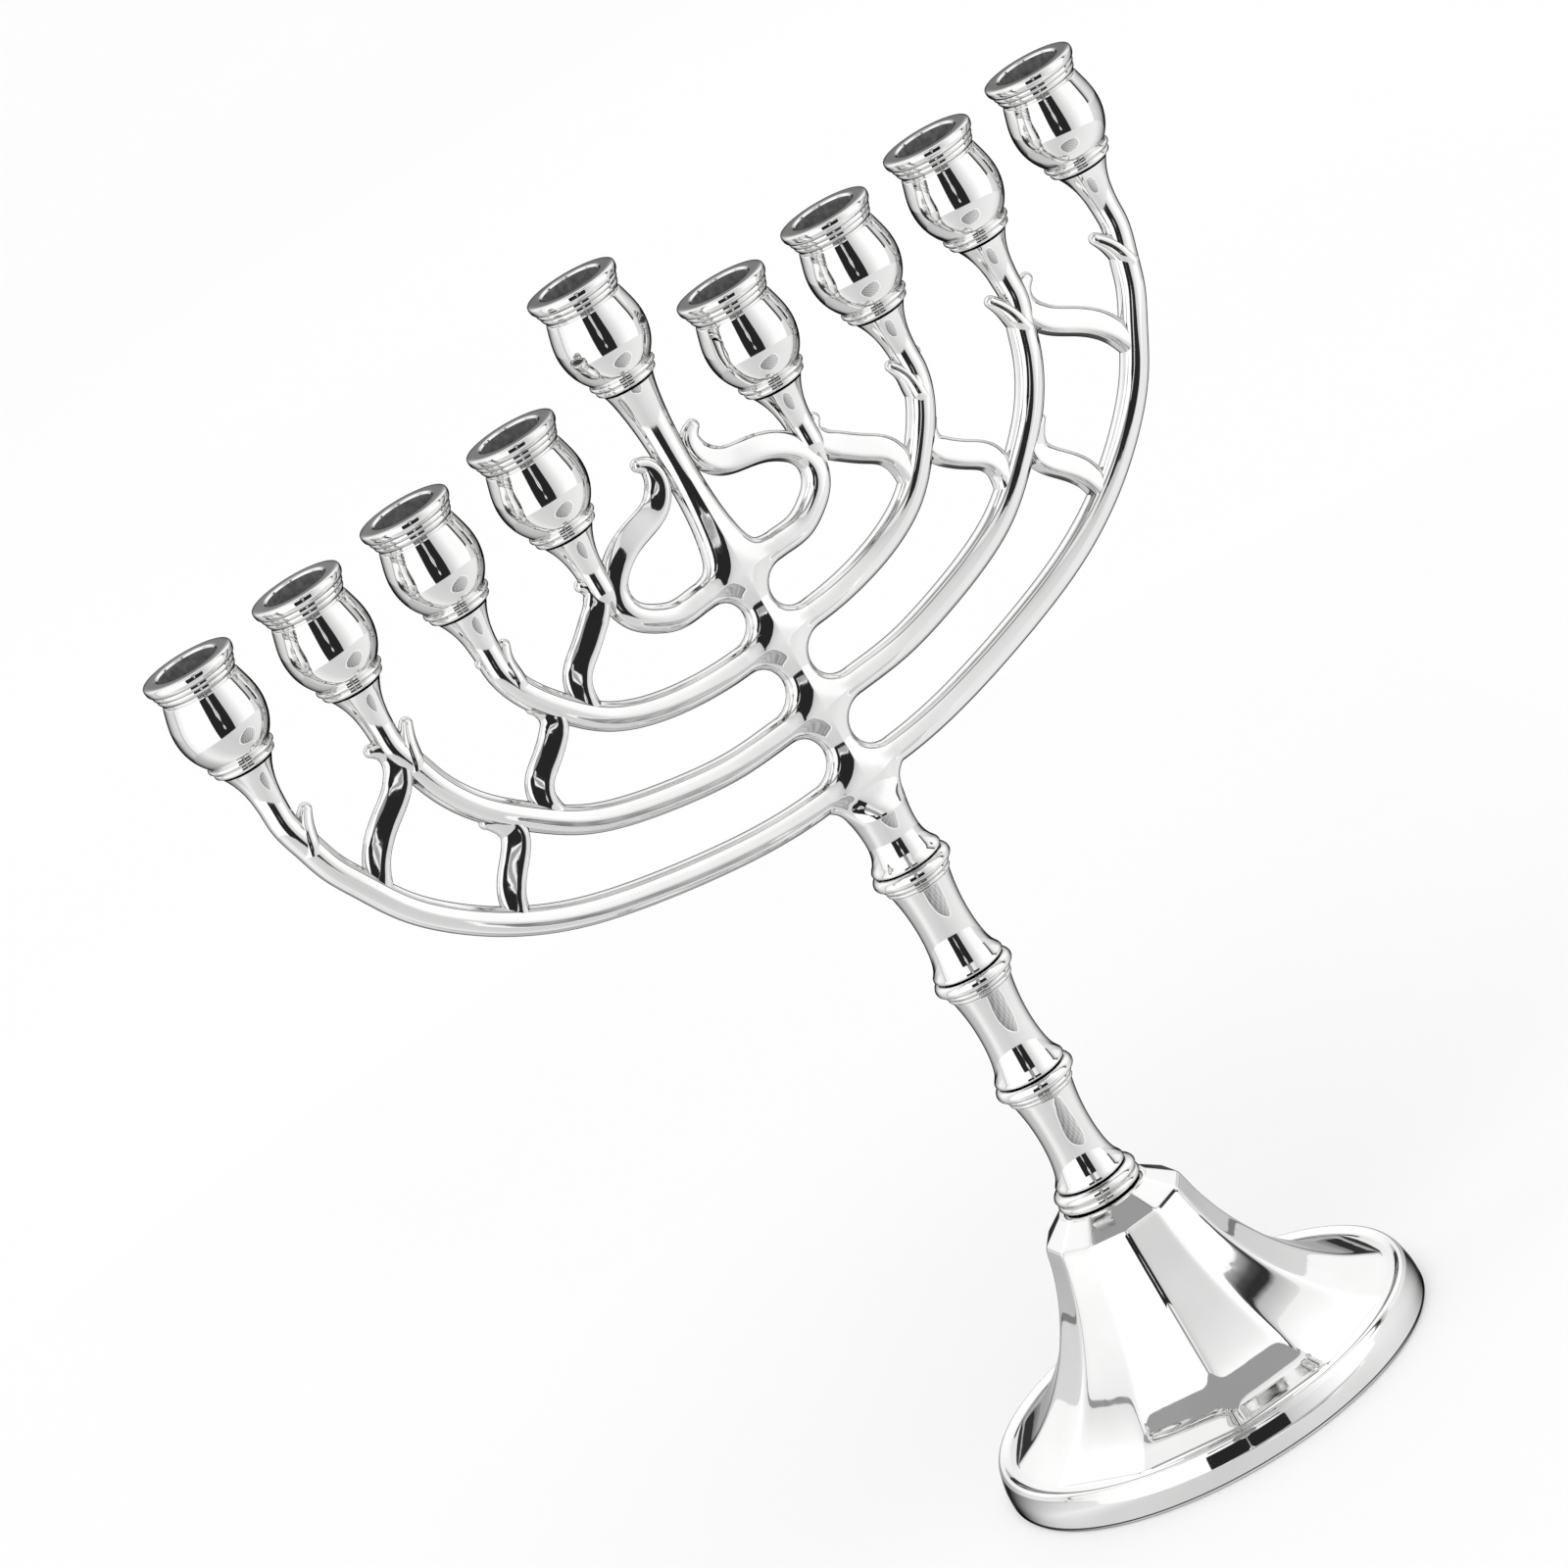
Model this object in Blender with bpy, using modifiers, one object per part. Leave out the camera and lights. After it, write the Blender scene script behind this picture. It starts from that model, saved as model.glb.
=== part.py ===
"""Nine-branch menorah in silver-plated metal: faceted hollow foot, three turned stem
segments on a tie rod, a branch frame of shaft, arms and tendrils, and nine candle cups.

Metres, +Z up, the foot stands on z = 0, and the branches spread along X.
"""
import math

import bmesh
import bpy

MM = 0.001

# ---- clearances ----
GAP = 0.3 * MM             # between two pieces that seat on each other
BORE_CLEARANCE = 0.3 * MM  # radial, between a rod or stud and its bore

# ---- heights of the branch frame, each one measured from the one before ----
TAIL_LENGTH = 18.9 * MM    # from the frame's lower end to the lowest arms, where they leave the shaft
CROWN_HEIGHT = 69.9 * MM   # from there to the tops of the side necks
CENTRE_RISE = 16.6 * MM    # the middle cup's rim above the side rims

# ---- candle cups ----
CUP_PITCH = 24.9 * MM      # between two neighbouring cups
CUPS_PER_SIDE = 4
SOCKET_R = 6.0 * MM
SOCKET_DEPTH = 15.0 * MM
LIP_WIDTH = 3.1 * MM       # from the socket out to the edge of the lip
THROAT_WALL = 1.6 * MM
BODY_WALL = 2.95 * MM
CUP_FOOT_R = 5.4 * MM
CUP_HEIGHT = 21.6 * MM
LIP_EDGE = 0.4 * MM        # small bevels round the socket's mouth and the lip
STUD_R = 1.5 * MM
STUD_LENGTH = 5.0 * MM

# ---- branch frame ----
ARM_R = 2.8 * MM
NECK_TOP_R = 5.1 * MM
# drop below a neck's top and the neck's radius there
SIDE_NECK = ((7.5 * MM, 2.8 * MM), (4.5 * MM, 3.2 * MM), (2.0 * MM, 4.0 * MM))
FIRST_NECK_ROOT = ((15.5 * MM, 1.6 * MM), (11.5 * MM, 2.4 * MM))
CENTRE_NECK = ((2.0 * MM, 4.6 * MM), (5.0 * MM, 4.0 * MM), (10.0 * MM, 3.5 * MM), (16.0 * MM, 3.2 * MM),
               (24.0 * MM, 3.1 * MM))
TENDRIL_R = 2.65 * MM
BUD_R = 1.1 * MM
SHAFT_HALF_WIDTH = 3.2 * MM
SHAFT_INSET = 0.1 * MM     # how much flatter the shaft is than the arms, front and back
SHAFT_EDGE_ROUND = 1.2 * MM
STUB_REACH = 9.0 * MM      # from the middle to the end of each arm stub
ARM_LEVELS = (0.650, 0.442, 0.221, 0.0)   # shares of the crown height, top arm first
TAIL_WAIST_R = 5.4 * MM

# ---- stem ----
STEM_PITCH = 23.9 * MM     # length of one stem segment with its joint
STEM_SEGMENTS = 3
STEM_WAIST_R = 5.2 * MM
STEM_RING_R = 8.0 * MM
STEM_END_R = 7.2 * MM
ROD_R = 2.0 * MM
ROD_THREAD_IN_FRAME = 11.0 * MM
COLLAR_R = 8.6 * MM
COLLAR_HEIGHT = 3.8 * MM
COLLAR_ROUND = 0.8 * MM

# ---- foot ----
FOOT_R = 44.5 * MM
FOOT_RIM_HEIGHT = 5.4 * MM
FOOT_FACETS = 12
FOOT_TURN = math.radians(10.3)
FOOT_TOP_Z = 46.6 * MM
FOOT_TOP_R = 9.2 * MM
SHOULDER_R = 14.4 * MM
SHOULDER_DROP = 4.2 * MM
FOOT_WALL = 1.6 * MM
RIM_LAND = 3.0 * MM        # width of the flat ring that the foot rests on
RIM_ROUND = 0.7 * MM
WASHER_LEDGE = 2.5 * MM    # the washer's reach beyond the nut
WASHER_THICKNESS = 1.2 * MM
NUT_WALL = 2.0 * MM
NUT_HEIGHT = 3.2 * MM
ROD_TAIL = 2.0 * MM        # rod end standing below the nut

# ---- worked out from the sizes above ----
COLLAR_Z = FOOT_TOP_Z + GAP
STEM_Z = COLLAR_Z + COLLAR_HEIGHT + GAP
TAIL_Z = STEM_Z + STEM_SEGMENTS * STEM_PITCH
LOW_ARM_Z = TAIL_Z + TAIL_LENGTH
SIDE_NECK_TOP_Z = LOW_ARM_Z + CROWN_HEIGHT
SIDE_RIM_Z = SIDE_NECK_TOP_Z + GAP + CUP_HEIGHT
CENTRE_RIM_Z = SIDE_RIM_Z + CENTRE_RISE
CENTRE_NECK_TOP_Z = CENTRE_RIM_Z - CUP_HEIGHT - GAP
LIP_R = SOCKET_R + LIP_WIDTH
CUP_THROAT_R = SOCKET_R + THROAT_WALL
CUP_BODY_R = SOCKET_R + BODY_WALL
SHAFT_HALF_THICKNESS = ARM_R - SHAFT_INSET
NUT_R = ROD_R + NUT_WALL
WASHER_R = NUT_R + WASHER_LEDGE
ROD_BORE_R = ROD_R + BORE_CLEARANCE
STUD_BORE_R = STUD_R + BORE_CLEARANCE
STUD_BORE_DEPTH = STUD_LENGTH + BORE_CLEARANCE
APOTHEM = math.cos(math.pi / FOOT_FACETS)

# ---- how finely round things are divided ----
CUP_STEPS = 16
STEM_STEPS = 20
FOOT_STEPS = 48
CAVITY_STEPS = 24
BORE_STEPS = 12
NUT_SIDES = 6

OVERSHOOT = 1.0 * MM       # how far a cutter runs past the face it opens
WELD = 0.0005 * MM
CHAMFER = 0.3 * MM         # on the ends of the tie rod

# ---- routes in the branch plane: (cup pitches from the middle, share of crown height) ----
ARM_ROUTES = {
    4: ((0.49, 0.000), (0.61, 0.003), (1.22, 0.033), (1.82, 0.082), (2.44, 0.154), (2.885, 0.238),
        (3.26, 0.341), (3.54, 0.450), (3.73, 0.566), (3.86, 0.653), (3.93, 0.732), (3.965, 0.808),
        (3.985, 0.880)),
    3: ((0.49, 0.221), (0.81, 0.226), (1.22, 0.252), (1.62, 0.290), (2.035, 0.353), (2.36, 0.441),
        (2.64, 0.538), (2.75, 0.592), (2.87, 0.678), (2.925, 0.737), (2.96, 0.801), (2.99, 0.865)),
    2: ((0.49, 0.442), (0.81, 0.456), (1.22, 0.495), (1.46, 0.540), (1.70, 0.621), (1.87, 0.700),
        (1.95, 0.783), (1.98, 0.850)),
    1: ((0.49, 0.650), (0.61, 0.653), (0.75, 0.676), (0.87, 0.713), (0.925, 0.761), (0.905, 0.812),
        (0.79, 0.857), (0.63, 0.888), (0.46, 0.905), (0.31, 0.925), (0.225, 0.960), (0.205, 1.008),
        (0.27, 1.056)),
}
TENDRIL_ROUTES = {
    "a": ((3.63, 0.540), (3.56, 0.585), (3.47, 0.625), (3.33, 0.664), (3.17, 0.700), (3.07, 0.742),
          (3.065, 0.788), (3.15, 0.850)),
    "b": ((2.83, 0.262), (2.76, 0.325), (2.67, 0.367), (2.575, 0.405), (2.535, 0.440), (2.57, 0.472),
          (2.68, 0.512)),
    "c": ((2.19, 0.428), (2.20, 0.484), (2.11, 0.528), (1.96, 0.565), (1.85, 0.604), (1.83, 0.642),
          (1.90, 0.684)),
    "d": ((1.54, 0.590), (1.52, 0.645), (1.45, 0.690), (1.30, 0.744), (1.15, 0.787), (1.075, 0.823),
          (1.11, 0.872)),
}
# which arms each tendril grows from and leans on
TENDRIL_ENDS = {"a": (4, 3), "b": (4, 3), "c": (3, 2), "d": (2, 1)}
# buds: arm number, root and tip in the branch plane
BUD_ROUTES = {
    4: (((3.95, 0.770), (3.86, 0.820), (3.76, 0.832)),),
    3: (((2.95, 0.775), (2.87, 0.833), (2.78, 0.853)),),
    2: (((1.95, 0.785), (2.03, 0.842), (2.12, 0.862)), ((1.96, 0.775), (1.89, 0.843), (1.82, 0.868))),
}


# ---- helpers ----
def clear_scene():
    for obj in list(bpy.data.objects):
        bpy.data.objects.remove(obj, do_unlink=True)


def new_collection(name):
    collection = bpy.data.collections.new(name)
    bpy.context.scene.collection.children.link(collection)
    return collection


def plated_metal(name, color, roughness):
    """Bright plating: a metallic Principled surface."""
    material = bpy.data.materials.new(name)
    material.use_nodes = True
    shader = material.node_tree.nodes["Principled BSDF"]
    shader.inputs["Base Color"].default_value = (*color, 1.0)
    shader.inputs["Roughness"].default_value = roughness
    shader.inputs["Metallic"].default_value = 1.0
    material.diffuse_color = (*color, 1.0)
    return material


def add_object(name, mesh, collection, material=None):
    obj = bpy.data.objects.new(name, mesh)
    collection.objects.link(obj)
    if material is not None:
        mesh.materials.append(material)
    return obj


def hide_cutter(obj):
    obj.hide_render = True
    obj.display_type = "WIRE"


def turned(name, profile, steps, collection, closed=False, smooth=True):
    """Turn a profile of (radius, height) points round Z; it runs down its outer side."""
    mesh = bpy.data.meshes.new(name)
    points = [(radius, 0.0, height) for radius, height in profile]
    edges = [(i, i + 1) for i in range(len(points) - 1)]
    if closed:
        edges.append((len(points) - 1, 0))
    mesh.from_pydata(points, edges, [])
    obj = add_object(name, mesh, collection)
    screw = obj.modifiers.new("turn", "SCREW")
    screw.steps = screw.render_steps = steps
    screw.use_merge_vertices = True
    screw.merge_threshold = WELD
    screw.use_smooth_shade = smooth
    return obj


def bake(obj):
    """Replace an object's data by its evaluated mesh and drop its modifiers."""
    depsgraph = bpy.context.evaluated_depsgraph_get()
    mesh = bpy.data.meshes.new_from_object(obj.evaluated_get(depsgraph))
    shape = bmesh.new()
    shape.from_mesh(mesh)
    bmesh.ops.remove_doubles(shape, verts=shape.verts, dist=WELD)
    bmesh.ops.recalc_face_normals(shape, faces=shape.faces)
    shape.to_mesh(mesh)
    shape.free()
    baked = bpy.data.objects.new(obj.name, mesh)
    baked.matrix_world = obj.matrix_world.copy()
    for collection in obj.users_collection:
        collection.objects.link(baked)
    name = obj.name
    bpy.data.objects.remove(obj, do_unlink=True)
    baked.name = name
    return baked


def tube(name, points, radii, collection, thickness=ARM_R):
    """A round rod along a smooth route in the XZ plane, with a radius at each point."""
    curve = bpy.data.curves.new(name, "CURVE")
    curve.dimensions = "3D"
    curve.bevel_depth = thickness
    curve.bevel_resolution = 2
    curve.resolution_u = 2
    curve.use_fill_caps = True
    spline = curve.splines.new("BEZIER")
    spline.bezier_points.add(len(points) - 1)
    for knot, (x, z), radius in zip(spline.bezier_points, points, radii):
        knot.co = (x, 0.0, z)
        knot.radius = radius / thickness
        knot.handle_left_type = knot.handle_right_type = "AUTO"
    obj = bpy.data.objects.new(name, curve)
    collection.objects.link(obj)
    bpy.context.view_layer.update()
    return bake(obj)


def boolean(target, cutter, operation):
    modifier = target.modifiers.new(operation.lower(), "BOOLEAN")
    modifier.operation = operation
    modifier.solver = "EXACT"
    modifier.object = cutter
    hide_cutter(cutter)


def finish(obj, material):
    """Give a finished solid its material and round shading with crisp edges kept."""
    baked = bake(obj)
    baked.data.materials.clear()
    baked.data.materials.append(material)
    baked.data.shade_smooth()
    baked.data.set_sharp_from_angle(angle=math.radians(40.0))
    return baked


def crown(point, side=1):
    """A route point in metres: u counts cup pitches, v is a share of the crown height."""
    u, v = point
    return (side * u * CUP_PITCH, LOW_ARM_Z + v * CROWN_HEIGHT)


def arm_level(number):
    return LOW_ARM_Z + ARM_LEVELS[number - 1] * CROWN_HEIGHT


# ---- pieces ----
def cup_profile():
    """Socket, lip, throat, bulb and foot of a candle cup, with its stud, below a rim at zero."""
    return [
        (0.0, -SOCKET_DEPTH),
        (SOCKET_R, -SOCKET_DEPTH),
        (SOCKET_R, -LIP_EDGE),
        (SOCKET_R + LIP_EDGE, 0.0),
        (LIP_R - 1.5 * LIP_EDGE, 0.0),
        (LIP_R, -1.5 * LIP_EDGE),
        (LIP_R, -1.9 * MM),
        (CUP_THROAT_R, -4.5 * MM),
        (CUP_BODY_R - 0.5 * MM, -8.0 * MM),
        (CUP_BODY_R, -11.2 * MM),
        (CUP_BODY_R - 0.6 * MM, -14.6 * MM),
        (CUP_FOOT_R + 1.2 * MM, -18.3 * MM),
        (CUP_FOOT_R + 0.9 * MM, -20.0 * MM),
        (CUP_FOOT_R, -CUP_HEIGHT),
        (STUD_R, -CUP_HEIGHT),
        (STUD_R, -CUP_HEIGHT - STUD_LENGTH),
        (0.0, -CUP_HEIGHT - STUD_LENGTH),
    ]


def make_cup(name, x, rim_z, parts, material):
    cup = turned(name, cup_profile(), CUP_STEPS, parts)
    cup.location = (x, 0.0, rim_z)
    bpy.context.view_layer.update()
    return finish(cup, material)


def stud_bore(name, x, neck_top, cutters):
    """Cutter for the blind hole that a cup's stud screws into."""
    low = neck_top - STUD_BORE_DEPTH
    high = neck_top + OVERSHOOT
    profile = [(0.0, high), (STUD_BORE_R, high), (STUD_BORE_R, low), (0.0, low)]
    bore = turned(name, profile, BORE_STEPS, cutters)
    bore.location.x = x
    return bore


def arm_shape(number, side, extra=0.0):
    """Route and radii of one arm; the outer three run on up into their cup's neck."""
    points = [crown(point, side) for point in ARM_ROUTES[number]]
    points[0] = (side * (STUB_REACH + GAP), arm_level(number))
    radii = [ARM_R + extra] * len(points)
    if number == 1:
        radii[-2:] = [0.75 * ARM_R + extra, 0.35 * ARM_R + extra]
        return points, radii
    neck_x = side * number * CUP_PITCH
    for drop, radius in (*SIDE_NECK, (0.0, NECK_TOP_R)):
        points.append((neck_x, SIDE_NECK_TOP_Z - drop))
        radii.append(radius + extra)
    return points, radii


def neck_of_first_cup(name, side, collection, extra=0.0):
    """The short neck that carries the first cup on top of the scroll."""
    sections = (*FIRST_NECK_ROOT, *SIDE_NECK, (0.0, NECK_TOP_R))
    points = [(side * CUP_PITCH, SIDE_NECK_TOP_Z - drop) for drop, _ in sections]
    return tube(name, points, [radius + extra for _, radius in sections], collection)


def make_arm(number, side, side_name, parts, cutters, material):
    name = f"arm_{number}_{side_name}"
    points, radii = arm_shape(number, side)
    arm = tube(name, points, radii, parts)
    if number == 1:
        neck = neck_of_first_cup(f"neck_{side_name}", side, cutters)
        boolean(arm, neck, "UNION")
        boolean(arm, make_fat_shaft(side_name, cutters), "DIFFERENCE")
    for index, route in enumerate(BUD_ROUTES.get(number, ())):
        bud_points = [crown(point, side) for point in route]
        bud = tube(f"bud_{number}_{side_name}_{index}", bud_points, [BUD_R, BUD_R, 0.8 * BUD_R], cutters)
        boolean(arm, bud, "UNION")
    bore = stud_bore(f"bore_{number}_{side_name}", side * number * CUP_PITCH, SIDE_NECK_TOP_Z, cutters)
    boolean(arm, bore, "DIFFERENCE")
    return finish(arm, material)


def fat_arm(number, side, label, cutters):
    """A copy of an arm that is thicker by the seating gap, to trim what meets it."""
    points, radii = arm_shape(number, side, GAP)
    return tube(f"trim_{number}_{label}", points, radii, cutters)


def make_tendril(letter, side, side_name, parts, cutters, material):
    name = f"tendril_{letter}_{side_name}"
    points = [crown(point, side) for point in TENDRIL_ROUTES[letter]]
    radii = [TENDRIL_R] * len(points)
    radii[-1] = 0.5 * TENDRIL_R
    tendril = tube(name, points, radii, parts)
    for number in TENDRIL_ENDS[letter]:
        boolean(tendril, fat_arm(number, side, f"{letter}_{side_name}", cutters), "DIFFERENCE")
        if number == 1:
            neck = neck_of_first_cup(f"trim_neck_{side_name}", side, cutters, GAP)
            boolean(tendril, neck, "DIFFERENCE")
    return finish(tendril, material)


def shaft_column_profile(extra=0.0):
    """The upper shaft: a slim column that swells into the middle cup's neck."""
    top = CENTRE_NECK_TOP_Z
    low = arm_level(1)
    profile = [(0.0, top), (NECK_TOP_R + extra, top)]
    profile += [(radius + extra, top - drop) for drop, radius in CENTRE_NECK]
    buried = SHAFT_HALF_THICKNESS - 0.7 * MM
    profile += [(SHAFT_HALF_WIDTH - 0.1 * MM + extra, low + 9.5 * MM), (buried + extra, low), (0.0, low)]
    return profile


def make_fat_shaft(label, cutters):
    return turned(f"trim_shaft_{label}", shaft_column_profile(GAP), STEM_STEPS, cutters)


def shaft_outline():
    """Right half of the shaft's front outline from the top down, mirrored for the left."""
    rod = ARM_R
    half = SHAFT_HALF_WIDTH
    right = [(half, arm_level(1) + 12.0 * MM), (half + 0.3 * MM, arm_level(1) + 9.0 * MM),
             (half + 1.3 * MM, arm_level(1) + 5.5 * MM), (half + 3.2 * MM, arm_level(1) + 3.2 * MM)]
    for number in (1, 2, 3, 4):
        level = arm_level(number)
        right += [(STUB_REACH, level + rod), (STUB_REACH, level - rod)]
        if number < 4:
            below = arm_level(number + 1) + rod
            radius = 0.5 * (level - rod - below)
            centre_x = half + radius
            centre_z = below + radius
            for step in range(6):
                angle = math.radians(105.0 + 30.0 * step)
                right.append((centre_x + radius * math.cos(angle), centre_z + radius * math.sin(angle)))
    low = arm_level(4)
    right += [(STUB_REACH - 1.8 * MM, low - 4.4 * MM), (TAIL_WAIST_R + 0.7 * MM, low - 6.8 * MM),
              (TAIL_WAIST_R - 0.4 * MM, low - 10.4 * MM)]
    return right


def make_shaft(parts, cutters, material):
    right = shaft_outline()
    outline = right + [(-x, z) for x, z in reversed(right)]
    curve = bpy.data.curves.new("shaft_plate", "CURVE")
    curve.dimensions = "2D"
    curve.fill_mode = "BOTH"
    curve.extrude = SHAFT_HALF_THICKNESS
    spline = curve.splines.new("POLY")
    spline.points.add(len(outline) - 1)
    for knot, (x, z) in zip(spline.points, outline):
        knot.co = (x, z, 0.0, 1.0)
    spline.use_cyclic_u = True
    plate = bpy.data.objects.new("branch_shaft", curve)
    plate.rotation_euler.x = math.radians(90.0)
    parts.objects.link(plate)
    bpy.context.view_layer.update()
    shaft = bake(plate)
    edges = shaft.modifiers.new("round_edges", "BEVEL")
    edges.width = SHAFT_EDGE_ROUND
    edges.segments = 2
    edges.limit_method = "ANGLE"
    edges.angle_limit = math.radians(50.0)
    shaft = bake(shaft)

    column = turned("shaft_column", shaft_column_profile(), STEM_STEPS, cutters)
    boolean(shaft, column, "UNION")
    low = arm_level(4)
    tail = [(0.0, low + 2.0 * MM), (TAIL_WAIST_R - 1.6 * MM, low + 1.0 * MM),
            (TAIL_WAIST_R - 0.2 * MM, low - 3.0 * MM), (TAIL_WAIST_R, low - 9.6 * MM),
            (TAIL_WAIST_R + 0.4 * MM, TAIL_Z + 4.2 * MM), (STEM_END_R - 0.8 * MM, TAIL_Z + 2.0 * MM),
            (STEM_END_R, TAIL_Z), (0.0, TAIL_Z)]
    boolean(shaft, turned("shaft_tail", tail, STEM_STEPS, cutters), "UNION")
    rod_top = TAIL_Z + ROD_THREAD_IN_FRAME + BORE_CLEARANCE
    under = TAIL_Z - OVERSHOOT
    rod_bore = [(0.0, rod_top), (ROD_BORE_R, rod_top), (ROD_BORE_R, under), (0.0, under)]
    boolean(shaft, turned("shaft_rod_bore", rod_bore, BORE_STEPS, cutters), "DIFFERENCE")
    boolean(shaft, stud_bore("shaft_stud_bore", 0.0, CENTRE_NECK_TOP_Z, cutters), "DIFFERENCE")
    return finish(shaft, material)


def make_stem_segment(index, parts, material):
    """One waisted segment with the ring that crowns it, bored for the rod."""
    low = STEM_Z + index * STEM_PITCH
    top = low + STEM_PITCH - GAP
    ring = top - 1.6 * MM
    profile = [
        (ROD_BORE_R, low),
        (ROD_BORE_R, top),
        (STEM_RING_R - 0.8 * MM, top),
        (STEM_RING_R - 0.3 * MM, top - 0.5 * MM),
        (STEM_RING_R, ring),
        (STEM_RING_R - 0.3 * MM, ring - 1.4 * MM),
        (STEM_RING_R - 1.1 * MM, ring - 2.8 * MM),
        (STEM_WAIST_R + 0.9 * MM, ring - 4.2 * MM),
        (STEM_WAIST_R + 0.3 * MM, ring - 7.5 * MM),
        (STEM_WAIST_R, low + 0.48 * STEM_PITCH),
        (STEM_WAIST_R + 0.5 * MM, low + 4.8 * MM),
        (STEM_END_R - 0.7 * MM, low + 1.8 * MM),
        (STEM_END_R, low),
    ]
    segment = turned(f"stem_segment_{index + 1}", profile, STEM_STEPS, parts, closed=True)
    return finish(segment, material)


def make_collar(parts, material):
    top = COLLAR_Z + COLLAR_HEIGHT
    profile = [
        (ROD_BORE_R, COLLAR_Z),
        (ROD_BORE_R, top),
        (STEM_RING_R - 0.6 * MM, top),
        (COLLAR_R - 0.5 * COLLAR_ROUND, top - COLLAR_ROUND),
        (COLLAR_R, top - 2.0 * COLLAR_ROUND),
        (COLLAR_R, COLLAR_Z + COLLAR_ROUND),
        (FOOT_TOP_R - COLLAR_ROUND, COLLAR_Z),
    ]
    return finish(turned("base_collar", profile, STEM_STEPS, parts, closed=True), material)


def facet_profile():
    """The faceted bell at its edges: sloped shoulder, then a concave sweep to the foot."""
    shoulder_z = FOOT_TOP_Z - SHOULDER_DROP
    foot_edge_r = FOOT_R - 4.7 * MM
    foot_edge_z = FOOT_RIM_HEIGHT + 2.2 * MM
    shape = ((0.065, 0.83), (0.175, 0.62), (0.36, 0.395), (0.565, 0.205), (0.78, 0.078))
    profile = [(FOOT_TOP_R, FOOT_TOP_Z), (SHOULDER_R, shoulder_z)]
    for across, up in shape:
        radius = SHOULDER_R + across * (foot_edge_r - SHOULDER_R)
        height = foot_edge_z + up * (shoulder_z - foot_edge_z)
        profile.append((radius, height))
    profile.append((foot_edge_r, foot_edge_z))
    return profile


def make_foot(parts, cutters, material):
    facets = facet_profile()
    edge_r, edge_z = facets[-1]
    under_z = 0.5 * FOOT_RIM_HEIGHT
    solid = [(0.0, FOOT_TOP_Z)] + facets + [(edge_r, under_z), (0.0, under_z)]
    foot = turned("base_foot", solid, FOOT_FACETS, parts, smooth=False)
    foot.rotation_euler.z = FOOT_TURN
    bpy.context.view_layer.update()
    foot = bake(foot)

    rim = [(0.0, edge_z - 0.2 * MM), (APOTHEM * edge_r - 0.6 * MM, edge_z - 0.2 * MM),
           (FOOT_R - 2.0 * MM, FOOT_RIM_HEIGHT + 1.9 * MM), (FOOT_R - 0.6 * MM, FOOT_RIM_HEIGHT + 1.1 * MM),
           (FOOT_R, FOOT_RIM_HEIGHT), (FOOT_R, RIM_ROUND), (FOOT_R - RIM_ROUND, 0.0), (0.0, 0.0)]
    boolean(foot, turned("foot_rim", rim, FOOT_STEPS, cutters), "UNION")

    land_r = FOOT_R - RIM_ROUND - RIM_LAND
    roof_z = FOOT_TOP_Z - 2.0 * FOOT_WALL
    cavity = [(0.0, roof_z), (WASHER_R + OVERSHOOT, roof_z)]
    for radius, height in facets[2:]:
        cavity.append((APOTHEM * radius - FOOT_WALL, height - FOOT_WALL))
    cavity += [(land_r, FOOT_RIM_HEIGHT - FOOT_WALL), (land_r, -OVERSHOOT), (0.0, -OVERSHOOT)]
    boolean(foot, turned("foot_cavity", cavity, CAVITY_STEPS, cutters), "DIFFERENCE")
    over = FOOT_TOP_Z + OVERSHOOT
    under = roof_z - OVERSHOOT
    hole = [(0.0, over), (ROD_BORE_R, over), (ROD_BORE_R, under), (0.0, under)]
    boolean(foot, turned("foot_rod_hole", hole, BORE_STEPS, cutters), "DIFFERENCE")
    return finish(foot, material)


def make_fasteners(parts, steel):
    """Tie rod from the nut under the foot's roof up into the branch frame."""
    roof_z = FOOT_TOP_Z - 2.0 * FOOT_WALL
    washer_top = roof_z - GAP
    washer_low = washer_top - WASHER_THICKNESS
    washer = [(ROD_BORE_R, washer_low), (ROD_BORE_R, washer_top), (WASHER_R, washer_top),
              (WASHER_R, washer_low)]
    finish(turned("base_washer", washer, STEM_STEPS, parts, closed=True), steel)
    nut_top = washer_low - GAP
    nut_low = nut_top - NUT_HEIGHT
    flat_bore_r = ROD_BORE_R / math.cos(math.pi / NUT_SIDES)   # its flats keep the bore's clearance
    nut = [(flat_bore_r, nut_low), (flat_bore_r, nut_top), (NUT_R, nut_top), (NUT_R, nut_low)]
    finish(turned("base_nut", nut, NUT_SIDES, parts, closed=True, smooth=False), steel)
    rod_low = nut_low - ROD_TAIL
    rod_top = TAIL_Z + ROD_THREAD_IN_FRAME
    rod = [(0.0, rod_top), (ROD_R - CHAMFER, rod_top), (ROD_R, rod_top - CHAMFER),
           (ROD_R, rod_low + CHAMFER), (ROD_R - CHAMFER, rod_low), (0.0, rod_low)]
    finish(turned("tie_rod", rod, BORE_STEPS, parts), steel)


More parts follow.
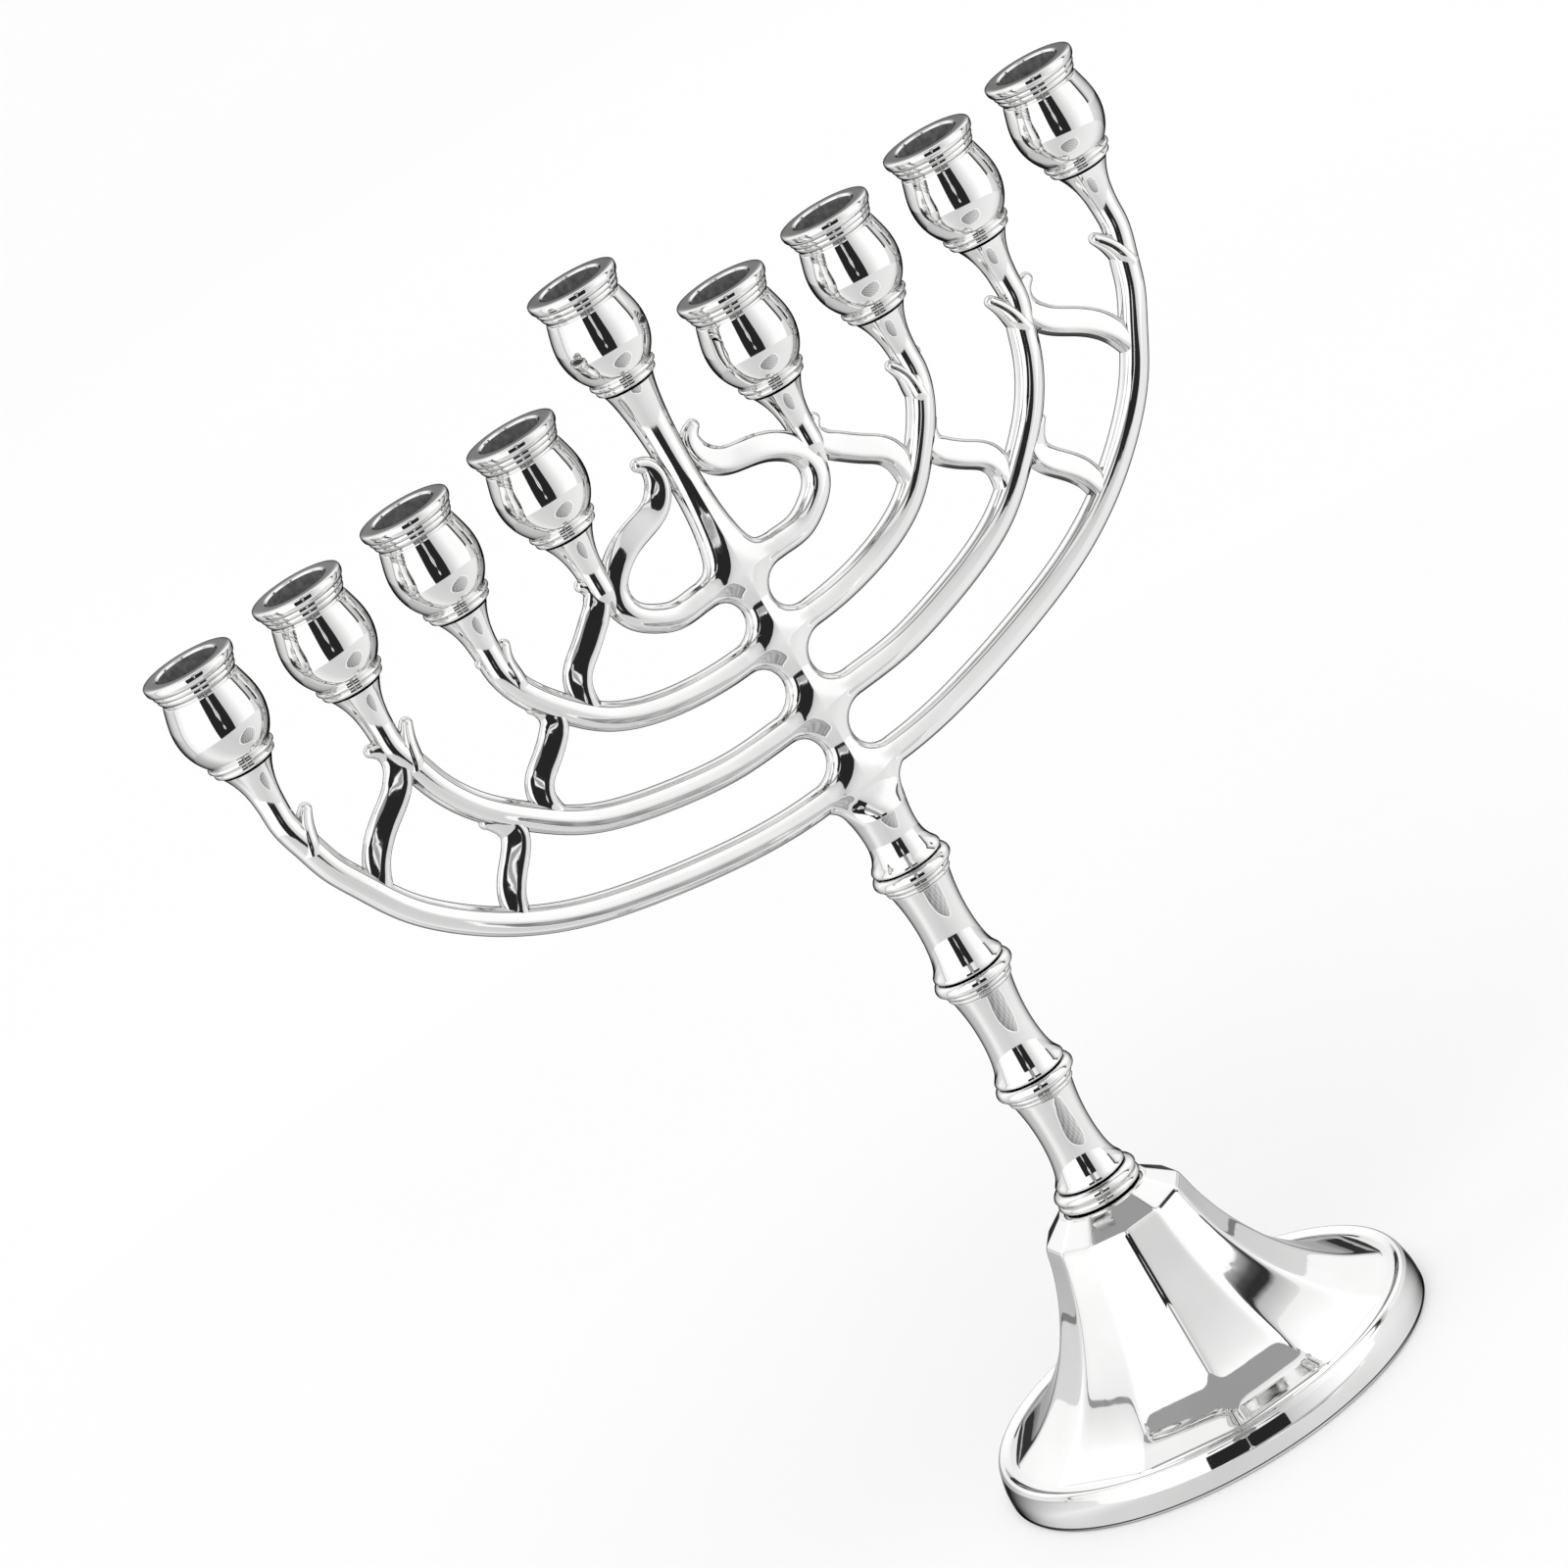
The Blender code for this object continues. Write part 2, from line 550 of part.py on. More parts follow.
def main():
    clear_scene()
    parts = new_collection("menorah")
    cutters = new_collection("cutters")
    silver = plated_metal("silver_plate", (0.90, 0.90, 0.89), 0.06)
    cast_silver = plated_metal("cast_silver_plate", (0.88, 0.88, 0.87), 0.10)
    steel = plated_metal("zinc_steel", (0.62, 0.63, 0.65), 0.35)

    make_foot(parts, cutters, silver)
    make_collar(parts, silver)
    for index in range(STEM_SEGMENTS):
        make_stem_segment(index, parts, silver)
    make_fasteners(parts, steel)
    make_shaft(parts, cutters, cast_silver)
    make_cup("candle_cup_middle", 0.0, CENTRE_RIM_Z, parts, silver)
    for side, side_name in ((-1, "left"), (1, "right")):
        for number in range(1, CUPS_PER_SIDE + 1):
            make_arm(number, side, side_name, parts, cutters, cast_silver)
            cup_name = f"candle_cup_{number}_{side_name}"
            make_cup(cup_name, side * number * CUP_PITCH, SIDE_RIM_Z, parts, silver)
        for letter in TENDRIL_ROUTES:
            make_tendril(letter, side, side_name, parts, cutters, cast_silver)


main()
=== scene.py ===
# %% [markdown]
# # A nine-branch candle holder in silver plate
#
# This lesson dresses a finished CAD frame. The frame gives every piece its size and place, and
# the cells below give each piece its fine shape: turned beads, faceted walls with softened
# edges, cast arms that flow into the shaft, and small curled leaves. Every shape is a grid of
# points worked out with numpy, so each formula can be read in one place.

# %% Load the frame and measure it
import math

import bmesh
import bpy
import numpy as np
from mathutils import Matrix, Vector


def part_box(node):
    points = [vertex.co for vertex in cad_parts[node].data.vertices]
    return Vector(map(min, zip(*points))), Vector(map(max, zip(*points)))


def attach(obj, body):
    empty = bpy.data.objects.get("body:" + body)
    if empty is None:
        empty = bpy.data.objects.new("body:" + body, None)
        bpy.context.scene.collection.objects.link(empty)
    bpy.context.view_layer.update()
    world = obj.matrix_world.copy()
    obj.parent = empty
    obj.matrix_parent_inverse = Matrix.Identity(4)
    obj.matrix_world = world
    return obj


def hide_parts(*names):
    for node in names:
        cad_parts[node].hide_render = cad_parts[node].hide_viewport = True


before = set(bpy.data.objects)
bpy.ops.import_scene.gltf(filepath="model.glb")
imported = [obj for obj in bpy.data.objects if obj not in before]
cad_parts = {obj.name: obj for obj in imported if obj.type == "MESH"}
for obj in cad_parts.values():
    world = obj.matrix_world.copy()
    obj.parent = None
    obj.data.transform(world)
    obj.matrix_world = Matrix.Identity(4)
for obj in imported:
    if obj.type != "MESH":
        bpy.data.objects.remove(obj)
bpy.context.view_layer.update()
MM = 0.001
SIDES = (("left", -1.0), ("right", 1.0))


def middle(node):
    """The middle of a CAD node's box: half of its lowest corner plus its highest."""
    low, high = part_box(node)
    return 0.5 * (low + high)


PITCH = middle("candle_cup_4_right").x / 4.0
CENTRE_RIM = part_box("candle_cup_middle")[1].z
SIDE_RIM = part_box("candle_cup_4_right")[1].z
TAIL_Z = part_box("branch_shaft")[0].z
FOOT_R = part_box("base_foot")[1].x
NECK_DROP = 21.9      # from a cup's rim down to the top of its neck
print("cup pitch", round(PITCH / MM, 2), "mm; rims at", round(CENTRE_RIM / MM, 1),
      "and", round(SIDE_RIM / MM, 1), "mm; foot radius", round(FOOT_R / MM, 1), "mm")

# %% [markdown]
# ## From a grid of points to a mesh
#
# Every piece here is a tube in the broad sense: rings of points, one after the other, each ring
# closed on itself. A turned cup has round rings, an arm has rings set square to its path. One
# helper joins the rings with four-sided faces. It closes each end with a fan to one pole, or
# joins the last ring to the first. It also checks that the faces point outwards, because a
# mirrored piece comes out inside out.

# %% Rings to mesh
def enclosed_volume(points, triangles):
    """Signed volume: a sixth of the sum of each triangle's triple product of corners."""
    a, b, c = (points[triangles[:, k]] for k in range(3))
    return float(np.einsum("ij,ij->i", a, np.cross(b, c)).sum()) / 6.0


def rings_to_faces(count, around, looped):
    """Quads between ring i and ring i + 1, for every step round; the last step wraps."""
    first = np.arange(count if looped else count - 1)[:, None]
    after = (first + 1) % count
    here = np.arange(around)[None, :]
    there = (here + 1) % around
    quads = np.stack([first * around + here, first * around + there,
                      after * around + there, after * around + here], axis=-1)
    return quads.reshape(-1, 4)


def pole_fans(count, around):
    """Triangles from the first ring to one pole and from the last ring to another."""
    here = np.arange(around)
    there = (here + 1) % around
    start, end = count * around, count * around + 1
    last = (count - 1) * around
    first_fan = np.stack([there, here, np.full(around, start)], axis=-1)
    last_fan = np.stack([last + here, last + there, np.full(around, end)], axis=-1)
    return np.concatenate([first_fan, last_fan])


def shell(rings, looped=False):
    """Points, quads and triangles of one closed shell made from an array of rings."""
    count, around, _ = rings.shape
    points = rings.reshape(-1, 3)
    quads = rings_to_faces(count, around, looped)
    triangles = np.zeros((0, 3), int)
    if not looped:
        points = np.concatenate([points, rings[0].mean(0)[None], rings[-1].mean(0)[None]])
        triangles = pole_fans(count, around)
    halves = np.concatenate([quads[:, [0, 1, 2]], quads[:, [0, 2, 3]], triangles])
    if enclosed_volume(points, halves) < 0.0:
        quads, triangles = quads[:, ::-1], triangles[:, ::-1]
    return points, quads, triangles


def join_shells(shells):
    """Several shells as one: each one's point numbers are raised by the points before it."""
    offset, points, quads, triangles = 0, [], [], []
    for p, q, t in shells:
        points.append(p)
        quads.append(q + offset)
        triangles.append(t + offset)
        offset += len(p)
    return np.concatenate(points), np.concatenate(quads), np.concatenate(triangles)


def add_piece(name, parts, materials, crisp=50.0, ring_materials=None):
    """Put a shell into a mesh object at the origin; edges that turn more than crisp stay sharp."""
    points, quads, triangles = parts
    corners = np.concatenate([quads.ravel(), triangles.ravel()]).astype(np.int32)
    sizes = np.concatenate([np.full(len(quads), 4), np.full(len(triangles), 3)])
    starts = np.concatenate([[0], np.cumsum(sizes)[:-1]]).astype(np.int32)
    mesh = bpy.data.meshes.new(name)
    mesh.vertices.add(len(points))
    mesh.vertices.foreach_set("co", points.astype(np.float32).ravel())
    mesh.loops.add(len(corners))
    mesh.loops.foreach_set("vertex_index", corners)
    mesh.polygons.add(len(sizes))
    mesh.polygons.foreach_set("loop_start", starts)
    for material in materials:
        mesh.materials.append(material)
    if ring_materials is not None:
        mesh.polygons.foreach_set("material_index", ring_materials.astype(np.int32))
    mesh.update(calc_edges=True)
    mesh.validate()
    mesh.shade_smooth()
    mesh.set_sharp_from_angle(angle=math.radians(crisp))
    piece = bpy.data.objects.new(name, mesh)
    bpy.context.scene.collection.objects.link(piece)
    return piece


def stand_in(piece, node):
    """The piece takes the place of one CAD node: it joins the root body, and the node is hidden."""
    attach(piece, "root")
    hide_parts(node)
    print(piece.name, "stands for", node, "with", len(piece.data.polygons), "faces")


# %% [markdown]
# ## Soft corners
#
# Polished metal has no knife edge: each corner is rounded a little, and that narrow round is
# what catches the light. A profile is drawn with straight lines, and every corner is then
# replaced by a short curve. Where the curve takes half of each line, the whole profile becomes
# one flowing line, and where it takes a tenth, the corner stays crisp.

# %% Profiles with softened corners
def soften(corners, steps=7, looped=False):
    """Round each corner of a line. A corner is (across, up, share). Its curve starts at that
    share of the line before it and ends at that share of the line after it, and follows
    (1 - t)^2 start + 2 t (1 - t) corner + t^2 end for t from 0 to 1."""
    table = np.asarray(corners, float)
    place, share = table[:, :2], table[:, 2:3]
    before, after = np.roll(place, 1, 0), np.roll(place, -1, 0)
    start = place + share * (before - place)
    end = place + share * (after - place)
    t = np.linspace(0.0, 1.0, steps)[None, :, None]
    curve = (1 - t) ** 2 * start[:, None] + 2 * t * (1 - t) * place[:, None] + t ** 2 * end[:, None]
    if not looped:
        curve[0], curve[-1] = place[0], place[-1]
    reach = np.roll(start, -1, 0) - end
    holds = end[:, None] + np.array([0.08, 0.5, 0.92])[None, :, None] * reach[:, None]
    line = np.concatenate([curve, holds], axis=1)
    if not looped:
        line[-1] = place[-1]
    line = line.reshape(-1, 2)
    step = np.linalg.norm(np.diff(line, axis=0), axis=1)
    keep = np.concatenate([[True], step > 1e-4])
    return line[keep]


def turned_rings(profile, steps, x=0.0, z=0.0, unit=MM):
    """Turn a profile of (radius, height): each ring is (r cos a, r sin a, height)."""
    turn = np.linspace(0.0, 2 * math.pi, steps, endpoint=False)
    r, h = profile[:, 0:1] * unit, profile[:, 1:2] * unit
    return np.stack([x + r * np.cos(turn), r * np.sin(turn), z + h + 0.0 * turn], axis=-1)


print("a softened square corner has", len(soften([(0, 0, 0), (1, 0, 0.2), (1, 1, 0)])), "points")

# %% [markdown]
# ## Silver, and what it mirrors
#
# Polished silver has almost no colour of its own. It is a mirror with a faint warm grey, and
# what tells the eye that it is metal is a slight unevenness: broad waves from polishing, and
# hairlines that vary the gloss. The turned pieces are the brightest, the cast branches are a
# little wavier, and the pressed foot keeps more light at a glancing angle. All three are one
# recipe with other numbers.

# %% Silver plate
def node(tree, kind, **values):
    """Add a shader node and set its inputs by name."""
    made = tree.nodes.new(kind)
    for name, value in values.items():
        made.inputs[name.replace("_", " ")].default_value = value
    return made


def noise_on_object(tree, scale, detail=3.0):
    """A noise pattern fixed to the object, with scale in lumps per metre."""
    where = tree.nodes.new("ShaderNodeTexCoord")
    noise = node(tree, "ShaderNodeTexNoise", Scale=scale, Detail=detail, Roughness=0.5)
    tree.links.new(where.outputs["Object"], noise.inputs["Vector"])
    return noise


def spread(tree, source, low, high):
    """Stretch the middle of a noise pattern to run from low to high."""
    made = node(tree, "ShaderNodeMapRange", From_Min=0.3, From_Max=0.7, To_Min=low, To_Max=high)
    tree.links.new(source, made.inputs["Value"])
    return made.outputs["Result"]


def silver_plate(name, gloss, wave, wave_scale, edge=0.02):
    """Mirror metal: gloss is a (low, high) roughness, wave the height of its ripples in mm and
    edge how much it mirrors at a glancing angle, where 0 draws a dark rim and 1 draws none."""
    material = bpy.data.materials.new(name)
    material.use_nodes = True
    tree = material.node_tree
    shader = tree.nodes["Principled BSDF"]
    shader.inputs["Metallic"].default_value = 1.0
    shader.inputs["Specular Tint"].default_value = (edge, edge, edge, 1.0)
    haze = noise_on_object(tree, 900.0, 5.0)
    tree.links.new(spread(tree, haze.outputs["Fac"], *gloss), shader.inputs["Roughness"])
    cloud = noise_on_object(tree, 70.0)
    tone = tree.nodes.new("ShaderNodeValToRGB")
    tone.color_ramp.elements[0].position, tone.color_ramp.elements[1].position = 0.3, 0.7
    tone.color_ramp.elements[0].color = (0.90, 0.90, 0.895, 1.0)
    tone.color_ramp.elements[1].color = (0.965, 0.965, 0.96, 1.0)
    tree.links.new(cloud.outputs["Fac"], tone.inputs["Fac"])
    tree.links.new(tone.outputs["Color"], shader.inputs["Base Color"])
    ripple = noise_on_object(tree, wave_scale, 2.0)
    bump = node(tree, "ShaderNodeBump", Strength=1.0, Distance=wave * MM)
    tree.links.new(ripple.outputs["Fac"], bump.inputs["Height"])
    tree.links.new(bump.outputs["Normal"], shader.inputs["Normal"])
    return material


TURNED_SILVER = silver_plate("turned_silver", (0.02, 0.05), 0.007, 160.0)
CAST_SILVER = silver_plate("cast_silver", (0.03, 0.07), 0.02, 220.0)
FOOT_SILVER = silver_plate("pressed_silver", (0.02, 0.05), 0.02, 130.0, 0.55)
print("silver recipes:", TURNED_SILVER.name, CAST_SILVER.name, FOOT_SILVER.name)

# %% [markdown]
# The wells that hold the candles are not polished, so they get a rough metal with paler specks.
# Its dark grey is painted shade, the shade deep inside each well. The nut, washer and rod under
# the foot keep their CAD shapes and get plain zinc-coated steel with fine brushing along the rod.

# %% Dull wells with painted shade, and zinc-coated steel
def dull_metal(name, dark, pale, gloss, grain, metallic, stretch=(1.0, 1.0, 1.0)):
    """Unpolished metal: the tone runs from dark to pale with a grain, and so does the gloss."""
    material = bpy.data.materials.new(name)
    material.use_nodes = True
    tree = material.node_tree
    shader = tree.nodes["Principled BSDF"]
    shader.inputs["Metallic"].default_value = metallic
    noise = noise_on_object(tree, grain, 6.0)
    mapping = node(tree, "ShaderNodeMapping", Scale=stretch)
    source = noise.inputs["Vector"].links[0].from_socket
    tree.links.new(source, mapping.inputs["Vector"])
    tree.links.new(mapping.outputs["Vector"], noise.inputs["Vector"])
    tone = tree.nodes.new("ShaderNodeValToRGB")
    tone.color_ramp.elements[0].position, tone.color_ramp.elements[1].position = 0.35, 0.72
    tone.color_ramp.elements[0].color = (*dark, 1.0)
    tone.color_ramp.elements[1].color = (*pale, 1.0)
    tree.links.new(noise.outputs["Fac"], tone.inputs["Fac"])
    tree.links.new(tone.outputs["Color"], shader.inputs["Base Color"])
    tree.links.new(spread(tree, noise.outputs["Fac"], *gloss), shader.inputs["Roughness"])
    bump = node(tree, "ShaderNodeBump", Strength=0.5, Distance=0.02 * MM)
    tree.links.new(noise.outputs["Fac"], bump.inputs["Height"])
    tree.links.new(bump.outputs["Normal"], shader.inputs["Normal"])
    return material


# The wells' dark grey tones are painted shade of the deep hole; their roughness is their own.
DULL_SHADED_WELL = dull_metal("dull_well_painted_shade", (0.13, 0.13, 0.13), (0.25, 0.25, 0.25), (0.5, 0.75), 900.0, 0.3)
ZINC_STEEL = dull_metal("zinc_coat", (0.45, 0.46, 0.48), (0.66, 0.67, 0.69), (0.3, 0.45), 2500.0, 1.0,
                        (1.0, 1.0, 0.08))
for fastener in ("tie_rod", "base_washer", "base_nut"):
    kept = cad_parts[fastener]
    kept.data.materials.clear()
    kept.data.materials.append(ZINC_STEEL)
print("zinc-coated:", "tie_rod, base_washer, base_nut")

# %% [markdown]
# ## Candle cups
#
# Each cup is turned: a broad lip, two fine steps down to a throat, a bulb, and two beads where
# it meets its neck. The well is a plain hole. The profile starts at the middle of the well's
# floor, climbs its wall, crosses the lip and runs down the outside.

# %% Nine cups from one profile
CUP_CORNERS = [
    (0.3, -15.0, 0.0), (5.6, -15.0, 0.3), (5.98, -14.6, 0.3), (5.98, -0.45, 0.06), (6.3, -0.04, 0.3),
    (6.6, 0.0, 0.3), (8.35, 0.0, 0.3), (8.98, -0.12, 0.5), (9.12, -0.75, 0.5), (8.98, -1.55, 0.45),
    (8.62, -2.05, 0.4), (8.30, -2.16, 0.25), (8.42, -2.55, 0.5), (8.22, -3.05, 0.45), (7.92, -3.2, 0.25),
    (8.05, -3.65, 0.5), (7.75, -4.2, 0.45), (7.35, -4.45, 0.3), (7.33, -4.8, 0.3), (7.68, -5.0, 0.2),
    (8.15, -6.6, 0.5), (8.78, -9.0, 0.5), (9.06, -11.3, 0.5), (8.86, -13.7, 0.5), (8.2, -15.9, 0.5),
    (7.2, -17.7, 0.5), (6.32, -18.75, 0.4), (6.22, -18.95, 0.3), (6.72, -19.1, 0.5), (6.72, -19.8, 0.5),
    (6.1, -20.05, 0.3), (5.72, -20.1, 0.25), (6.2, -20.4, 0.5), (6.12, -21.15, 0.5), (5.5, -21.45, 0.3),
    (5.2, -21.6, 0.3), (0.3, -21.6, 0.0),
]
CUP_STEPS = 112
cup_profile = soften(CUP_CORNERS, 6)
in_well = (cup_profile[:, 0] < 6.0) & (cup_profile[:, 1] > -15.5) & (cup_profile[:, 1] < -0.4)


def make_cup(node_name):
    """A turned cup on its CAD place; rings inside the well take the dull metal with painted shade."""
    place = middle(node_name)
    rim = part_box(node_name)[1].z
    rings = turned_rings(cup_profile, CUP_STEPS, place.x, rim)
    parts = shell(rings)
    # The well's rings get the darker metal: painted shade down inside the cup.
    dull = np.repeat(in_well[:-1], CUP_STEPS)
    fans = np.concatenate([np.ones(CUP_STEPS), np.zeros(CUP_STEPS)])
    piece = add_piece("silver_" + node_name, parts, [TURNED_SILVER, DULL_SHADED_WELL],
                      ring_materials=np.concatenate([dull, fans]))
    stand_in(piece, node_name)


for number in range(1, 5):
    for side_name, _ in SIDES:
        make_cup(f"candle_cup_{number}_{side_name}")
make_cup("candle_cup_middle")

# %% [markdown]
# ## Stem
#
# The stem is three turned segments, threaded on a hidden rod. Each one flares at its foot,
# narrows to a waist and ends in two beads and a broad ring. Below them a stepped collar sits on
# the foot.

# %% Three segments and a collar
SEGMENT_CORNERS = [
    (0.3, 0.0, 0.0), (6.9, 0.0, 0.04), (7.28, 0.18, 0.4), (7.25, 0.75, 0.5), (6.75, 1.45, 0.5),
    (6.2, 2.5, 0.5), (5.75, 4.2, 0.5), (5.42, 6.6, 0.5), (5.26, 9.4, 0.5), (5.32, 12.6, 0.5),
    (5.62, 15.6, 0.5), (6.0, 17.9, 0.45), (6.22, 18.95, 0.3), (6.1, 19.1, 0.3), (6.62, 19.3, 0.5),
    (6.68, 19.85, 0.5), (6.3, 20.05, 0.3), (6.78, 20.2, 0.4), (7.05, 20.6, 0.5), (6.85, 21.0, 0.3),
    (7.05, 21.1, 0.3), (7.85, 21.35, 0.5), (8.12, 22.1, 0.5), (7.85, 22.95, 0.5), (7.3, 23.45, 0.4),
    (6.9, 23.58, 0.1), (0.3, 23.58, 0.0),
]
COLLAR_CORNERS = [
    (0.3, 0.0, 0.0), (7.9, 0.0, 0.04), (8.45, 0.25, 0.5), (8.62, 0.9, 0.5), (8.35, 1.45, 0.45),
    (7.95, 1.6, 0.3), (8.0, 1.85, 0.3), (8.5, 2.0, 0.5), (8.66, 2.6, 0.5), (8.3, 3.3, 0.5),
    (7.6, 3.7, 0.4), (7.2, 3.78, 0.1), (0.3, 3.78, 0.0),
]
STEM_STEPS = 112


def make_turned(node_name, corners):
    """A turned piece that stands on the low end of its CAD node."""
    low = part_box(node_name)[0].z
    rings = turned_rings(soften(corners, 7), STEM_STEPS, 0.0, low)
    stand_in(add_piece("silver_" + node_name, shell(rings), [TURNED_SILVER]), node_name)


for number in (1, 2, 3):
    make_turned(f"stem_segment_{number}", SEGMENT_CORNERS)
make_turned("base_collar", COLLAR_CORNERS)

# %% [markdown]
# ## The faceted foot
#
# The foot is pressed from sheet: twelve flat walls that sweep out from a sloped shoulder to a
# round, rolled rim. In plan each ring is a twelve-sided polygon, and the polygon's corners must
# be soft, because a sheet bends round them. The radius of a straight side is the distance to
# the side over the cosine of the angle from its middle. A soft maximum over all twelve cosines
# gives straight sides with rounded corners in one formula. Below the walls the rings turn round.

# %% Foot
FACETS = 12
FACET_TURN = math.radians(10.3)
FOOT_STEPS = FACETS * 32


def soft_polygon(turn, sharpness=110.0):
    """Radius of a polygon whose corners are at 1: cos(15 deg) over the soft maximum of the
    cosines to each side's middle, where the soft maximum is (sum of cos^p)^(1/p)."""
    middles = FACET_TURN + (np.arange(FACETS) + 0.5) * 2 * math.pi / FACETS
    cosines = np.clip(np.cos(turn[:, None] - middles[None, :]), 0.0, None)
    return math.cos(math.pi / FACETS) / (cosines ** sharpness).sum(1) ** (1.0 / sharpness)


WALL_CORNERS = [   # radius at a polygon corner, height
    (2.3, 46.6, 0.0), (8.6, 46.6, 0.05), (9.2, 46.55, 0.4), (9.6, 46.3, 0.4), (14.2, 42.75, 0.12),
    (14.75, 41.9, 0.3), (15.9, 36.6, 0.5), (18.6, 29.4, 0.5), (23.4, 21.1, 0.5), (28.9, 14.75, 0.5),
    (34.4, 10.4, 0.5), (39.0, 8.0, 0.3), (39.9, 7.55, 0.3), (40.2, 7.3, 0.0),
]
RIM_CORNERS = [    # round from here on, down to the floor and back up inside
    (40.35, 7.28, 0.0), (41.2, 7.12, 0.4), (41.9, 7.35, 0.5), (42.6, 7.85, 0.5), (43.2, 7.75, 0.5),
    (43.6, 7.0, 0.4), (43.72, 6.85, 0.3), (44.28, 4.6, 0.35), (44.5, 3.2, 0.5), (44.5, 0.8, 0.2),
    (44.1, 0.1, 0.5), (43.6, 0.0, 0.3), (41.3, 0.0, 0.1), (40.8, 0.3, 0.3), (40.8, 3.6, 0.2),
    (39.6, 4.7, 0.4), (33.2, 8.0, 0.5), (27.4, 12.4, 0.5), (21.8, 19.2, 0.5), (16.9, 28.0, 0.5),
    (14.3, 35.5, 0.5), (12.9, 41.0, 0.4), (8.0, 43.4, 0.3), (2.4, 43.4, 0.1), (2.3, 43.5, 0.0),
]
RIM_START = 43.65     # from here out the rim is turned and polished like the stem
wall = soften(WALL_CORNERS, 9)
rim = soften(RIM_CORNERS, 9)
plan = np.linspace(0.0, 2 * math.pi, FOOT_STEPS, endpoint=False)
facet = soft_polygon(plan)
round_share = np.clip((9.6 - wall[:, 0:1]) / 0.6, 0.0, 1.0)
radius = np.concatenate([wall[:, 0:1] * (round_share + (1 - round_share) * facet[None, :]),
                         rim[:, 0:1] + 0.0 * facet[None, :]])
height = np.concatenate([wall[:, 1], rim[:, 1]])[:, None] + 0.0 * plan[None, :]
foot_rings = np.stack([radius * np.cos(plan), radius * np.sin(plan), height], axis=-1) * MM
foot_parts = shell(foot_rings, looped=True)
face_middles = foot_parts[0][foot_parts[1]].mean(axis=1)
on_rim = np.hypot(face_middles[:, 0], face_middles[:, 1]) > RIM_START * MM
stand_in(add_piece("silver_base_foot", foot_parts, [FOOT_SILVER, TURNED_SILVER],
                   ring_materials=np.concatenate([on_rim, np.zeros(len(foot_parts[2]))])), "base_foot")

# %% [markdown]
# ## The branch frame
#
# Shaft, arms and tendrils are cast, and they melt into each other. All of them lie in one plane
# and are rounded like a rod: the surface rises from the outline as a quarter circle. So the
# height at any spot needs only its distance to the nearest outline. The same rule gives a round
# rod on a long arm and a smooth saddle where an arm leaves the shaft. A fine line runs beside
# the outline, where the caster's two mould halves were cleaned up.

# %% The outline of the shaft
ARM_R = 2.8
LEVEL = dict(zip((1, 2, 3, 4), (187.035, 172.5, 157.05, 141.6)))
SHAFT_HALF = 3.3
STUB = 9.0


def gap_end(upper, lower, steps=41):
    """The round inner end of the gap between two arms: half a circle, seen from the side."""
    top, bottom = upper - ARM_R, lower + ARM_R
    reach = 0.5 * (top - bottom)
    swing = np.linspace(0.5 * math.pi, -0.5 * math.pi, steps)
    across = SHAFT_HALF + reach - reach * np.cos(swing)
    return np.stack([across, 0.5 * (top + bottom) + reach * np.sin(swing)], axis=-1)


def stub_band(level, steps=25):
    """Rows across an arm's root, closer together near its edges: level + R sin(swing)."""
    swing = np.linspace(0.5 * math.pi, -0.5 * math.pi, steps)
    return np.stack([np.full(steps, STUB), level + 0.999 * ARM_R * np.sin(swing)], axis=-1)


NECK_TOP = CENTRE_RIM / MM - NECK_DROP
column = soften([(5.15, NECK_TOP, 0.0), (4.75, NECK_TOP - 1.2, 0.5), (4.2, NECK_TOP - 4.0, 0.5),
                 (3.62, NECK_TOP - 8.5, 0.5), (3.25, NECK_TOP - 14.5, 0.5), (3.15, NECK_TOP - 20.0, 0.5),
                 (3.3, 202.5, 0.5), (3.75, 197.5, 0.5), (4.7, 192.6, 0.5), (5.9, 190.3, 0.5),
                 (8.2, LEVEL[1] + ARM_R, 0.5), (STUB, LEVEL[1] + ARM_R, 0.0)], 9)
TAIL = TAIL_Z / MM
tail = soften([(STUB, LEVEL[4] - ARM_R, 0.0), (8.6, LEVEL[4] - ARM_R - 0.1, 0.5), (6.9, 137.2, 0.5),
               (5.85, 134.2, 0.5), (5.4, 131.0, 0.5), (5.3, 128.4, 0.5), (5.6, 126.3, 0.5),
               (6.3, 124.7, 0.5), (6.95, 123.9, 0.5), (7.25, 123.3, 0.4), (7.2, TAIL + 0.2, 0.3),
               (6.9, TAIL, 0.0)], 9)
pieces = [column]
for number in (1, 2, 3, 4):
    pieces.append(stub_band(LEVEL[number]))
    if number < 4:
        pieces.append(gap_end(LEVEL[number], LEVEL[number + 1]))
pieces.append(tail)
rows = np.concatenate(pieces)
print("the shaft has", len(rows), "rows from", round(rows[0, 1], 1), "to", round(rows[-1, 1], 1), "mm")

# %% [markdown]
# The distance to the outline is measured to a dense string of points along it, which runs on
# along the arms so that the distance is right at the shaft's ends as well. The rounding radius
# changes with height: the neck and the tail are fully round. Between the arms the shaft is
# keeled: two flat slopes meet in a ridge along the middle.

